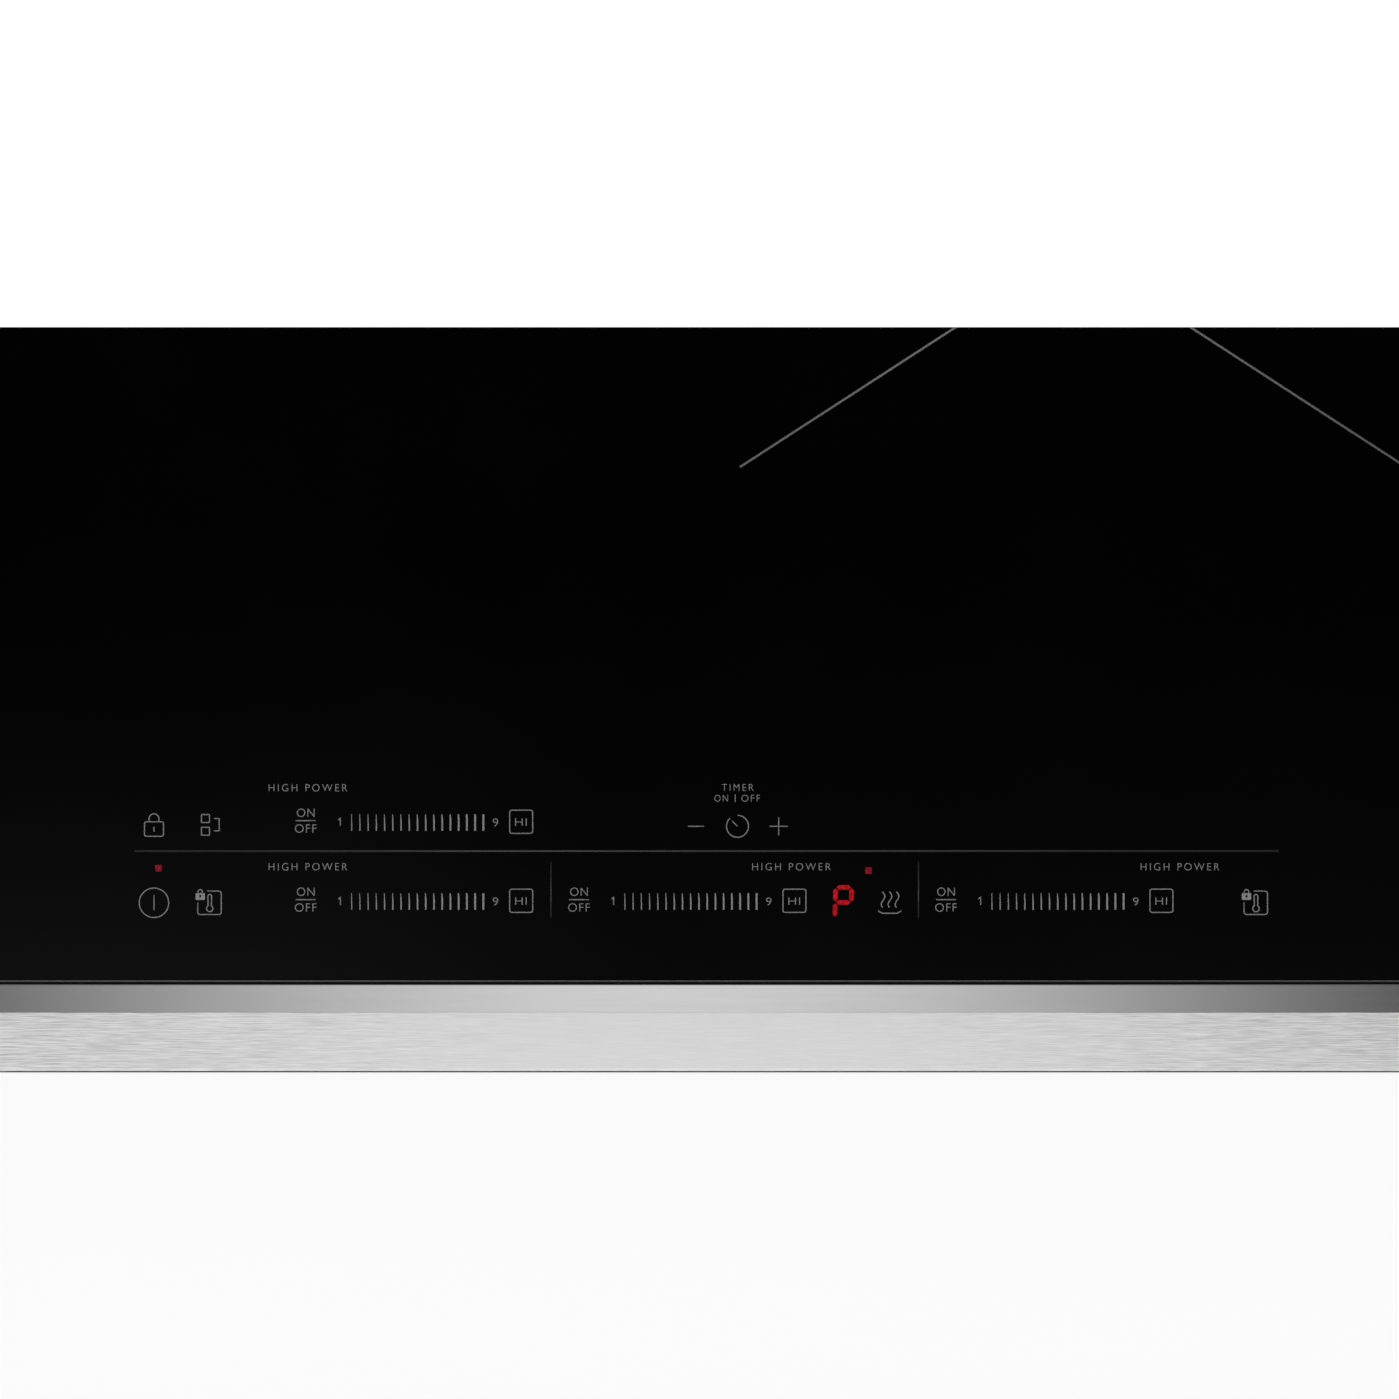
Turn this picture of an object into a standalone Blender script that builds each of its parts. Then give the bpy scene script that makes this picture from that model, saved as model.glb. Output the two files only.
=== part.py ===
"""Four-zone electric induction cooktop for a worktop cut-out, with a stainless front rail.

Metres, +Z up. The origin is at the centre of the flat housing floor, the front is at -Y.
The glass lies on a bonded frame, which hooks into a sheet-steel tray. The tray holds the coils on an
aluminium carrier, two power boards with heat sinks, two fans and the mains terminals.
"""

import math

import bmesh
import bpy
from mathutils import Matrix, Vector

# Overall
WIDTH = 0.781
DEPTH = 0.546
BOX_HEIGHT = 0.092  # from the housing floor to the worktop line
GAP = 0.0003  # between faces that touch
CUT_MARGIN = 0.004  # how far a cutter runs past what it cuts

# Glass, seal and front rail
GLASS_THICKNESS = 0.004
GLASS_CORNER_RADIUS = 0.006
GLASS_GRIND = 0.0008
SEAL_THICKNESS = 0.0027
SEAL_WIDTH = 0.010
SEAL_INSET = 0.002
RAIL_DEPTH = 0.0356
RAIL_FLAT_DEPTH = 0.0242
RAIL_RISE = 0.0022
RAIL_BEVEL_DROP = 0.0023
RAIL_NOSE_RADIUS = 0.0016
RAIL_NOSE_STEPS = 4
RAIL_SHEET = 0.0012
RAIL_LIP = 0.010
RAIL_FOOT = 0.0145
RAIL_TO_GLASS = 0.0012
RAIL_CAP_THICKNESS = 0.002

# Housing tray and glass frame
SIDE_OVERHANG = 0.0285
END_OVERHANG = 0.030  # glass past the tray at the front and at the rear
TRAY_SHEET = 0.0008
TRAY_CORNER_RADIUS = 0.004
NOTCH_WIDTH = 0.140
NOTCH_DEPTH = 0.030
FRAME_SHEET = 0.0012
FRAME_FLANGE = 0.0135
FRAME_FRONT_LEDGE = 0.016
FRAME_LIP = 0.012
BEAD_WIDTH = 0.008

# Air openings in the tray
SLOT_WIDTH = 0.005
SLOT_LENGTH = 0.030
SLOT_PITCH = 0.010
WALL_SLOT_HEIGHT = 0.026
WALL_SLOT_BASE = 0.030
WALL_SLOT_PITCH = 0.020
FRONT_SLOTS = 16
SIDE_SLOTS = 8
SIDE_SLOTS_START = 0.060  # from the tray's front wall
FLOOR_SLOT_ROWS = 3
FLOOR_SLOTS_IN_ROW = 9
FLOOR_ROW_GAP = 0.005

# Cooking zones: coil radii, and the shares of the free width and depth that lie round them
COIL_RADIUS = {"right": 0.125, "front_left": 0.080, "rear_left": 0.080, "rear_centre": 0.070}
WIDTH_SHARE_LEFT = 0.367
WIDTH_SHARE_BETWEEN = 0.167
WIDTH_SHARE_STAGGER = -0.055
RIGHT_ZONE_FROM_REAR = 0.2172
REAR_ZONE_FROM_REAR = 0.108
LEFT_REAR_FROM_REAR = 0.117
LEFT_PAIR_PITCH = 0.180
COIL_HOLE_RADIUS = 0.022
WINDING_THICKNESS = 0.005
FORMER_SHEET = 0.0024
FORMER_RIM = 0.0022
DISC_THICKNESS = 0.0025
DISC_HOLE_RADIUS = 0.012
FERRITE_THICKNESS = 0.005
FERRITE_BAR_WIDTH = 0.014
FERRITE_HUB_RADIUS = 0.024
FERRITE_HOLE_RADIUS = 0.013
LARGE_COIL_RADIUS = 0.1  # a coil wider than this has more bars
LARGE_COIL_BARS = 8
SMALL_COIL_BARS = 6
SENSOR_RADIUS = 0.0065
SENSOR_FLANGE_RADIUS = 0.0095
SENSOR_FLANGE_THICKNESS = 0.002
ROUND_SEGMENTS = 32
CORNER_SEGMENTS = 3
SMOOTH_BELOW = math.radians(35)

# Coil carrier
CARRIER_SHEET = 0.0012
CARRIER_SIDE_GAP = 0.008
CARRIER_FOOT = 0.011
CARRIER_FRONT = 0.104  # from the tray's front wall
CARRIER_REAR_GAP = 0.004

# Electronics on the floor
BOARD_THICKNESS = 0.0016
BOARD_HEIGHT = 0.008
BOARD_LEG = 0.008
BOARD_LEG_INSET = 0.010
POWER_BOARD_WIDTH = 0.150
POWER_BOARD_LENGTH = 0.180
POWER_BOARD_FROM_SIDE = 0.0182  # from the carrier's side
HEATSINK_LENGTH = 0.140
HEATSINK_HEIGHT = 0.040
HEATSINK_BASE = 0.006
HEATSINK_FIN = 0.0018
HEATSINK_FIN_LENGTH = 0.038
HEATSINK_FINS = 7
BANK_TRANSISTORS = 4
TRANSISTOR_WIDTH = 0.016
TRANSISTOR_HEIGHT = 0.021
TRANSISTOR_DEPTH = 0.005
CLAMP_BAR_DEPTH = 0.003
CLAMP_BAR_HEIGHT = 0.008
CAPACITOR_RADIUS = 0.015
CAPACITOR_HEIGHT = 0.032
FILTER_BOARD_WIDTH = 0.080
FILTER_BOARD_LENGTH = 0.070
CHOKE_RADIUS = 0.018
CHOKE_HOLE_RADIUS = 0.008
CHOKE_HEIGHT = 0.016

# Fans, lying flat over the floor slots
FAN_SIZE = 0.120
FAN_THICKNESS = 0.025
FAN_CORNER_RADIUS = 0.006
FAN_WALL = 0.003
FAN_FROM_CENTRE = 0.098
FAN_FROM_WALL = 0.030  # from the tray's front wall
FAN_TO_BOARD = 0.008
FAN_BLADES = 7
BLADE_CLEARANCE = 0.002
BLADE_THICKNESS = 0.0014
BLADE_PITCH = math.radians(38)
HUB_RADIUS = 0.020
HUB_WALL = 0.002
STRUT_WIDTH = 0.006
STRUT_THICKNESS = 0.003
SHAFT_RADIUS = 0.0015
BEARING_WALL = 0.003

# Touch controls under the glass
CONTROL_WIDTH = 0.484
CONTROL_DEPTH = 0.074
CONTROL_HEIGHT = 0.0127
CONTROL_WALL = 0.0016
CONTROL_LEDGE = 0.004
CONTROL_BOARD_DROP = 0.0051  # from the tray's rim down to the board
CONTROL_FROM_FRONT = 0.052
DISPLAY_WIDTH = 0.0125
DISPLAY_LENGTH = 0.019
DISPLAY_PLACES = {
    "front_left": (-0.0542, 0.0688),
    "rear_left": (-0.0542, 0.1006),
    "rear_centre": (0.0552, 0.0688),
    "right": (0.2020, 0.0688),
}  # distance from the middle, and from the front edge

# Mains terminals in the rear notch
COVER_WIDTH = 0.086
COVER_HEIGHT = 0.056
COVER_SHEET = 0.0015
COVER_BASE = 0.012
COVER_FROM_NOTCH_CORNER = 0.010
COVER_OVERLAP = 0.006
KNUCKLE_RADIUS = 0.0035
KNUCKLE_LENGTH = 0.018
PIN_RADIUS = 0.0015
LUG_LENGTH = 0.005
LUG_WALL = 0.0015
LUG_STEPS = 6
TERMINAL_WIDTH = 0.070
TERMINAL_DEPTH = 0.020
TERMINAL_HEIGHT = 0.030
TERMINAL_WAYS = 4
TERMINAL_RIB = 0.002
TERMINAL_FROM_WALL = 0.012
GLAND_RADIUS = 0.011
GLAND_FLANGE_RADIUS = 0.013
GLAND_FLANGE = 0.004
GLAND_LENGTH = 0.016
GLAND_BORE = 0.007
NIPPLE_RADIUS = 0.0095
NIPPLE_LENGTH = 0.010
LOCKNUT_RADIUS = 0.0145
LOCKNUT_THICKNESS = 0.004
GLAND_HEIGHT = 0.028
GLAND_FROM_SIDE = 0.022

# Hold-down brackets and their clamp screws
BRACKET_SHEET = 0.0025
BRACKET_WIDTH = 0.040
BRACKET_FOOT_Z = 0.028
BRACKET_TOP_BELOW_WORKTOP = 0.016
BRACKET_REACH = 0.0255
CLAMP_FROM_WALL = 0.016
CLAMP_RADIUS = 0.003
CLAMP_HEAD_RADIUS = 0.0065
CLAMP_HEAD_HEIGHT = 0.005
CLAMP_HEAD_Z = 0.005
CLAMP_LENGTH = 0.042
CLAMP_PAD_RADIUS = 0.005
CLAMP_PAD_HEIGHT = 0.004

# Levels and edges that follow from the values above
FRONT = -DEPTH / 2
REAR = DEPTH / 2
GLASS_UNDER = BOX_HEIGHT + SEAL_THICKNESS + GAP
GLASS_TOP = GLASS_UNDER + GLASS_THICKNESS
RAIL_TOP = GLASS_TOP + RAIL_RISE
RAIL_INNER = FRONT + RAIL_DEPTH
GLASS_FRONT = RAIL_INNER + RAIL_TO_GLASS
TRAY_X = WIDTH / 2 - SIDE_OVERHANG
TRAY_FRONT = FRONT + END_OVERHANG
TRAY_REAR = REAR - END_OVERHANG
NOTCH_X = TRAY_X - NOTCH_WIDTH
NOTCH_Y = TRAY_REAR - NOTCH_DEPTH
FLOOR_TOP = TRAY_SHEET + GAP
DISC_TOP = GLASS_UNDER - GAP
WINDING_TOP = DISC_TOP - DISC_THICKNESS - GAP
FORMER_TOP = WINDING_TOP - WINDING_THICKNESS - GAP
FERRITE_TOP = FORMER_TOP - FORMER_SHEET - GAP
CARRIER_TOP = FERRITE_TOP - FERRITE_THICKNESS - GAP
CARRIER_X = TRAY_X - TRAY_SHEET - CARRIER_SIDE_GAP
FAN_Y = TRAY_FRONT + FAN_FROM_WALL + FAN_SIZE / 2
POWER_BOARD_FRONT = FAN_Y + FAN_SIZE / 2 + FAN_TO_BOARD
BOARD_TOP = BOARD_HEIGHT + BOARD_THICKNESS
COVER_X = NOTCH_X + COVER_FROM_NOTCH_CORNER
PIN_Y = NOTCH_Y + GAP + KNUCKLE_RADIUS
PIN_Z = COVER_BASE + COVER_HEIGHT + KNUCKLE_RADIUS


def coil_places():
    """Centre of each coil. The width that the coils leave free is shared out between and beside them."""
    radius = COIL_RADIUS
    left = -CARRIER_X
    free = 2 * (CARRIER_X - radius["rear_left"] - radius["rear_centre"] - radius["right"])
    pair_x = left + free * WIDTH_SHARE_LEFT + radius["rear_left"]
    centre_x = pair_x + radius["rear_left"] + free * WIDTH_SHARE_BETWEEN + radius["rear_centre"]
    right_x = centre_x + radius["rear_centre"] + free * WIDTH_SHARE_STAGGER + radius["right"]
    return {
        "right": (right_x, REAR - RIGHT_ZONE_FROM_REAR),
        "front_left": (pair_x, REAR - LEFT_REAR_FROM_REAR - LEFT_PAIR_PITCH),
        "rear_left": (pair_x, REAR - LEFT_REAR_FROM_REAR),
        "rear_centre": (centre_x, REAR - REAR_ZONE_FROM_REAR),
    }


COIL_PLACES = coil_places()


# Modelling tools


def clear_scene():
    for obj in list(bpy.data.objects):
        bpy.data.objects.remove(obj, do_unlink=True)


def material(name, colour, roughness, metallic=0.0):
    """A Principled material, with its base colour given as linear RGB."""
    found = bpy.data.materials.get(name)
    if found:
        return found
    made = bpy.data.materials.new(name)
    made.use_nodes = True
    shader = made.node_tree.nodes["Principled BSDF"]
    shader.inputs["Base Color"].default_value = (*colour, 1.0)
    shader.inputs["Roughness"].default_value = roughness
    shader.inputs["Metallic"].default_value = metallic
    made.diffuse_color = (*colour, 1.0)
    return made


def placed(name, bm, finish, location=(0, 0, 0), smooth=False):
    """Turns a bmesh into a named object with its material, standing at its location."""
    bmesh.ops.recalc_face_normals(bm, faces=bm.faces)
    mesh = bpy.data.meshes.new(name)
    bm.to_mesh(mesh)
    bm.free()
    if smooth:
        mesh.shade_smooth()
        mesh.set_sharp_from_angle(angle=SMOOTH_BELOW)
    if finish:
        mesh.materials.append(finish)
    obj = bpy.data.objects.new(name, mesh)
    obj.location = location
    bpy.context.scene.collection.objects.link(obj)
    return obj


def tool(name, bm, location=(0, 0, 0)):
    """A helper shape for a Boolean, left out of the model."""
    obj = placed(name, bm, None, location)
    obj.hide_render = True
    obj.display_type = "WIRE"
    return obj


def boolean(obj, other, operation):
    modifier = obj.modifiers.new(other.name, "BOOLEAN")
    modifier.operation = operation
    modifier.solver = "EXACT"
    modifier.object = other


def solidify(obj, thickness):
    """Gives an open sheet its thickness, on the inner side of its faces."""
    modifier = obj.modifiers.new("sheet", "SOLIDIFY")
    modifier.thickness = thickness
    modifier.offset = -1
    modifier.use_even_offset = True


def add_box(bm, low, high):
    size = Vector(high) - Vector(low)
    middle = (Vector(high) + Vector(low)) / 2
    bmesh.ops.create_cube(bm, size=1, matrix=Matrix.Translation(middle) @ Matrix.Diagonal((*size, 1)))


def box(low, high):
    bm = bmesh.new()
    add_box(bm, low, high)
    return bm


def boxes(pairs):
    bm = bmesh.new()
    for low, high in pairs:
        add_box(bm, low, high)
    return bm


def add_extruded(bm, points, along):
    """Adds a solid from a flat outline of 3-D points, drawn out along a vector."""
    face = bm.faces.new([bm.verts.new(point) for point in points])
    drawn = bmesh.ops.extrude_face_region(bm, geom=[face])
    moved = [item for item in drawn["geom"] if isinstance(item, bmesh.types.BMVert)]
    bmesh.ops.translate(bm, vec=along, verts=moved)


def extruded(points, along):
    bm = bmesh.new()
    add_extruded(bm, points, along)
    return bm


def prism(outline, low, high):
    """An upright solid from a plan outline of (x, y) points."""
    return extruded([(x, y, low) for x, y in outline], (0, 0, high - low))


def folded_sheet(points, along):
    """An open sheet that follows a line of 3-D points and runs along a vector."""
    bm = bmesh.new()
    verts = [bm.verts.new(point) for point in points]
    edges = [bm.edges.new(pair) for pair in zip(verts, verts[1:])]
    drawn = bmesh.ops.extrude_edge_only(bm, edges=edges)
    moved = [item for item in drawn["geom"] if isinstance(item, bmesh.types.BMVert)]
    bmesh.ops.translate(bm, vec=along, verts=moved)
    return bm


def turned(profile, segments=ROUND_SEGMENTS, closed=True):
    """A solid turned about Z from (radius, height) points. An open profile starts and ends on the axis."""
    bm = bmesh.new()
    verts = [bm.verts.new((radius, 0, height)) for radius, height in profile]
    pairs = list(zip(verts, verts[1:]))
    if closed:
        pairs.append((verts[-1], verts[0]))
    edges = [bm.edges.new(pair) for pair in pairs]
    bmesh.ops.spin(
        bm, geom=verts + edges, cent=(0, 0, 0), axis=(0, 0, 1), angle=math.tau, steps=segments, use_merge=True
    )
    bmesh.ops.remove_doubles(bm, verts=bm.verts, dist=1e-6)
    return bm


def ring(inner, outer, low, high, segments=ROUND_SEGMENTS):
    return turned([(inner, low), (outer, low), (outer, high), (inner, high)], segments)


def rectangle(left, front, right, rear):
    return [(left, front), (right, front), (right, rear), (left, rear)]


def rounded(outline, radius, segments=CORNER_SEGMENTS):
    """The outline with each corner replaced by an arc, inner corners too."""
    points = []
    count = len(outline)
    for i, corner in enumerate(outline):
        here = Vector(corner)
        back = (Vector(outline[i - 1]) - here).normalized()
        ahead = (Vector(outline[(i + 1) % count]) - here).normalized()
        half = back.angle(ahead) / 2
        centre = here + (back + ahead).normalized() * radius / math.sin(half)
        start = here + back * radius / math.tan(half) - centre
        end = here + ahead * radius / math.tan(half) - centre
        sweep = start.angle_signed(end)
        for step in range(segments + 1):
            turn = -sweep * step / segments
            spoke = Matrix.Rotation(turn, 2) @ start
            points.append(tuple(centre + spoke))
    return points


def inset_outline(outline, distance):
    """The outline moved inwards by a distance, point by point. It runs anticlockwise."""
    points = []
    count = len(outline)
    for i, corner in enumerate(outline):
        here = Vector(corner)
        before = (here - Vector(outline[i - 1])).normalized()
        after = (Vector(outline[(i + 1) % count]) - here).normalized()
        inwards = (Vector((-before.y, before.x)) + Vector((-after.y, after.x))).normalized()
        reach = distance / inwards.dot(Vector((-after.y, after.x)))
        points.append(tuple(here + inwards * reach))
    return points


def frame_ring(outer, inner, low, high):
    """A flat ring between two plan outlines of as many points each."""
    bm = bmesh.new()
    loops = [[bm.verts.new((x, y, z)) for x, y in line] for z in (low, high) for line in (outer, inner)]
    outer_low, inner_low, outer_high, inner_high = loops
    count = len(outer)
    for i in range(count):
        j = (i + 1) % count
        bm.faces.new((outer_low[i], outer_low[j], outer_high[j], outer_high[i]))
        bm.faces.new((inner_low[i], inner_high[i], inner_high[j], inner_low[j]))
        bm.faces.new((outer_high[i], outer_high[j], inner_high[j], inner_high[i]))
        bm.faces.new((outer_low[i], inner_low[i], inner_low[j], outer_low[j]))
    return bm


# Finishes

BLACK_GLASS = material("black_glass_ceramic", (0.004, 0.004, 0.005), 0.05)
STAINLESS = material("stainless_steel", (0.62, 0.62, 0.62), 0.3, 1.0)
ZINC_STEEL = material("zinc_plated_steel", (0.55, 0.56, 0.56), 0.4, 1.0)
ALUMINIUM = material("aluminium", (0.75, 0.76, 0.77), 0.35, 1.0)
COPPER = material("enamelled_copper", (0.55, 0.2, 0.08), 0.4, 0.9)
MICA = material("mica_sheet", (0.55, 0.5, 0.4), 0.7)
FERRITE = material("ferrite", (0.03, 0.03, 0.035), 0.6)
BOARD_GREEN = material("circuit_board", (0.02, 0.12, 0.05), 0.5)
BLACK_PLASTIC = material("black_plastic", (0.02, 0.02, 0.02), 0.5)
WHITE_PLASTIC = material("white_plastic", (0.7, 0.7, 0.68), 0.5)
FOAM = material("foam_seal", (0.03, 0.03, 0.03), 0.9)
SILICONE = material("silicone", (0.05, 0.05, 0.05), 0.6)


# Glass, rail and seal


def tray_outline():
    """Plan of the housing tray: a rectangle with a notch in its rear right corner."""
    corners = [(-TRAY_X, TRAY_FRONT), (TRAY_X, TRAY_FRONT), (TRAY_X, NOTCH_Y), (NOTCH_X, NOTCH_Y),
               (NOTCH_X, TRAY_REAR), (-TRAY_X, TRAY_REAR)]
    return rounded(corners, TRAY_CORNER_RADIUS)


def make_glass_top():
    """Plate of glass-ceramic with ground upper edges, and round corners at the rear."""
    corners = rounded(rectangle(-WIDTH / 2, GLASS_FRONT, WIDTH / 2, REAR), GLASS_CORNER_RADIUS)
    rear_arcs = [point for point in corners if point[1] > 0]
    outline = [(-WIDTH / 2, GLASS_FRONT), (WIDTH / 2, GLASS_FRONT), *rear_arcs]
    bm = prism(outline, GLASS_UNDER, GLASS_TOP)
    rim = [edge for edge in bm.edges if all(abs(v.co.z - GLASS_TOP) < 1e-6 for v in edge.verts)]
    bmesh.ops.bevel(bm, geom=rim, offset=GLASS_GRIND, offset_type="OFFSET", segments=2, profile=0.5,
                    affect="EDGES")
    placed("glass_top", bm, BLACK_GLASS)


def rail_outside():
    """(y, z) points of the rail's outer face, from its front bottom edge to its bevelled rear edge."""
    points = [(FRONT, GLASS_UNDER)]
    centre_y = FRONT + RAIL_NOSE_RADIUS
    centre_z = RAIL_TOP - RAIL_NOSE_RADIUS
    for step in range(RAIL_NOSE_STEPS + 1):
        turn = math.pi - step * math.pi / 2 / RAIL_NOSE_STEPS
        y = centre_y + RAIL_NOSE_RADIUS * math.cos(turn)
        z = centre_z + RAIL_NOSE_RADIUS * math.sin(turn)
        points.append((y, z))
    points.append((FRONT + RAIL_FLAT_DEPTH, RAIL_TOP))
    points.append((RAIL_INNER, RAIL_TOP - RAIL_BEVEL_DROP))
    return points


def make_front_rail():
    """Folded stainless rail whose foot reaches under the glass, with a solid cap on each end."""
    half = WIDTH / 2 - RAIL_CAP_THICKNESS - GAP
    foot_top = GLASS_UNDER - GAP
    line = [(FRONT + RAIL_LIP, GLASS_UNDER), *rail_outside(), (RAIL_INNER, foot_top),
            (RAIL_INNER + RAIL_FOOT, foot_top)]
    rail = placed("front_rail", folded_sheet([(-half, y, z) for y, z in line], (2 * half, 0, 0)), STAINLESS)
    # Walked from the lip to the foot, the sheet's outer side faces away from its hollow.
    orient_outwards(rail, probe=(0, FRONT, RAIL_TOP - RAIL_NOSE_RADIUS), outwards=(0, -1, 0))
    solidify(rail, RAIL_SHEET)
    # The foot stops short of the seal, which runs past it along both sides.
    seal_inner = WIDTH / 2 - SEAL_INSET - SEAL_WIDTH - GAP
    reliefs = [
        ((min(near, far), RAIL_INNER - RAIL_SHEET - CUT_MARGIN, BOX_HEIGHT),
         (max(near, far), RAIL_INNER + RAIL_FOOT + CUT_MARGIN, GLASS_UNDER))
        for near, far in ((-WIDTH / 2, -seal_inner), (seal_inner, WIDTH / 2))
    ]
    boolean(rail, tool("rail_foot_reliefs", boxes(reliefs)), "DIFFERENCE")
    for side, start in (("left", -WIDTH / 2), ("right", WIDTH / 2 - RAIL_CAP_THICKNESS)):
        outline = [*rail_outside(), (RAIL_INNER, GLASS_UNDER)]
        bm = extruded([(start, y, z) for y, z in outline], (RAIL_CAP_THICKNESS, 0, 0))
        placed(f"rail_end_cap_{side}", bm, STAINLESS)


def orient_outwards(obj, probe, outwards):
    """Turns an open sheet's faces so that the face nearest the probe looks outwards."""
    bm = bmesh.new()
    bm.from_mesh(obj.data)
    nearest = min(bm.faces, key=lambda face: (face.calc_center_median() - Vector(probe)).length)
    nearest.normal_update()
    if nearest.normal.dot(Vector(outwards)) < 0:
        bmesh.ops.reverse_faces(bm, faces=bm.faces)
    bm.to_mesh(obj.data)
    bm.free()


def make_seal():
    """Foam strip under the rim, the bonded steel frame and its bead of silicone."""
    half = WIDTH / 2 - SEAL_INSET
    outer = rectangle(-half, FRONT + SEAL_INSET, half, REAR - SEAL_INSET)
    narrow = half - SEAL_WIDTH
    inner = rectangle(-narrow, FRONT + SEAL_INSET + SEAL_WIDTH, narrow, REAR - SEAL_INSET - SEAL_WIDTH)
    placed("seal_gasket", frame_ring(outer, inner, BOX_HEIGHT, BOX_HEIGHT + SEAL_THICKNESS), FOAM)

    inside = TRAY_SHEET + 2 * GAP + FRAME_SHEET
    out_x = TRAY_X + FRAME_FLANGE
    out_rear = TRAY_REAR + FRAME_FLANGE
    ledge = TRAY_FRONT + TRAY_SHEET + GAP + FRAME_FRONT_LEDGE
    outer = [(-out_x, TRAY_FRONT - FRAME_FLANGE), (out_x, TRAY_FRONT - FRAME_FLANGE),
             (out_x, NOTCH_Y - inside), (out_x, out_rear), (NOTCH_X - inside, out_rear), (-out_x, out_rear)]
    inner = [(-TRAY_X + inside, ledge), (TRAY_X - inside, ledge), (TRAY_X - inside, NOTCH_Y - inside),
             (NOTCH_X - inside, NOTCH_Y - inside), (NOTCH_X - inside, TRAY_REAR - inside),
             (-TRAY_X + inside, TRAY_REAR - inside)]
    frame = placed("glass_frame", frame_ring(outer, inner, BOX_HEIGHT, BOX_HEIGHT + FRAME_SHEET), ZINC_STEEL)
    lip_outer = inset_outline(tray_outline(), TRAY_SHEET + GAP)
    lip_inner = inset_outline(lip_outer, FRAME_SHEET)
    lip = frame_ring(lip_outer, lip_inner, BOX_HEIGHT - FRAME_LIP, BOX_HEIGHT + FRAME_SHEET / 2)
    boolean(frame, tool("frame_lip_tool", lip), "UNION")

    bead_x = TRAY_X + FRAME_FLANGE - GAP
    bead_rear = TRAY_REAR + FRAME_FLANGE - GAP
    bead_front = RAIL_INNER + RAIL_FOOT + GAP
    bead_outline = [
        (-bead_x, bead_front),
        (-bead_x + BEAD_WIDTH, bead_front),
        (-bead_x + BEAD_WIDTH, bead_rear - BEAD_WIDTH),
        (bead_x - BEAD_WIDTH, bead_rear - BEAD_WIDTH),
        (bead_x - BEAD_WIDTH, bead_front),
        (bead_x, bead_front),
        (bead_x, bead_rear),
        (-bead_x, bead_rear),
    ]
    placed("adhesive_bead", prism(bead_outline, BOX_HEIGHT + FRAME_SHEET + GAP, GLASS_UNDER - GAP), SILICONE)


# Housing tray


def slot_outline(middle_x, middle_y):
    """A plan slot with pointed-round ends, its length along Y."""
    half = SLOT_LENGTH / 2
    edge = SLOT_WIDTH / 2
    shoulder = half - edge
    return [
        (middle_x - edge, middle_y - shoulder),
        (middle_x - edge / 2, middle_y - half),
        (middle_x + edge / 2, middle_y - half),
        (middle_x + edge, middle_y - shoulder),
        (middle_x + edge, middle_y + shoulder),
        (middle_x + edge / 2, middle_y + half),
        (middle_x - edge / 2, middle_y + half),
        (middle_x - edge, middle_y + shoulder),
    ]


def tray_cutters():
    """Every air slot, the terminal opening and the gland hole, as one tool."""
    bm = bmesh.new()
    middle = (FLOOR_SLOTS_IN_ROW - 1) / 2
    row_pitch = SLOT_LENGTH + FLOOR_ROW_GAP
    for sign in (-1, 1):
        for row in range(FLOOR_SLOT_ROWS):
            y = FAN_Y + (row - (FLOOR_SLOT_ROWS - 1) / 2) * row_pitch
            for column in range(FLOOR_SLOTS_IN_ROW):
                x = sign * FAN_FROM_CENTRE + (column - middle) * SLOT_PITCH
                low = [(px, py, -CUT_MARGIN) for px, py in slot_outline(x, y)]
                add_extruded(bm, low, (0, 0, 2 * CUT_MARGIN))
    top = WALL_SLOT_BASE + WALL_SLOT_HEIGHT
    for i in range(FRONT_SLOTS):
        x = (i - (FRONT_SLOTS - 1) / 2) * WALL_SLOT_PITCH
        add_box(bm, (x - SLOT_WIDTH / 2, TRAY_FRONT - CUT_MARGIN, WALL_SLOT_BASE),
                (x + SLOT_WIDTH / 2, TRAY_FRONT + CUT_MARGIN, top))
    for side in (-1, 1):
        for i in range(SIDE_SLOTS):
            y = TRAY_FRONT + SIDE_SLOTS_START + i * WALL_SLOT_PITCH
            near, far = sorted((side * (TRAY_X - CUT_MARGIN), side * (TRAY_X + CUT_MARGIN)))
            add_box(bm, (near, y - SLOT_WIDTH / 2, WALL_SLOT_BASE), (far, y + SLOT_WIDTH / 2, top))
    add_box(bm, (COVER_X + COVER_OVERLAP, NOTCH_Y - CUT_MARGIN, COVER_BASE + COVER_OVERLAP),
            (COVER_X + COVER_WIDTH - COVER_OVERLAP, NOTCH_Y + CUT_MARGIN,
             COVER_BASE + COVER_HEIGHT - COVER_OVERLAP))
    bmesh.ops.create_cone(
        bm, cap_ends=True, segments=ROUND_SEGMENTS // 2, radius1=NIPPLE_RADIUS + GAP,
        radius2=NIPPLE_RADIUS + GAP, depth=2 * CUT_MARGIN,
        matrix=Matrix.Translation((TRAY_X - GLAND_FROM_SIDE, NOTCH_Y, GLAND_HEIGHT))
        @ Matrix.Rotation(math.pi / 2, 4, "X"),
    )
    return tool("tray_cutters", bm)


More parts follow.
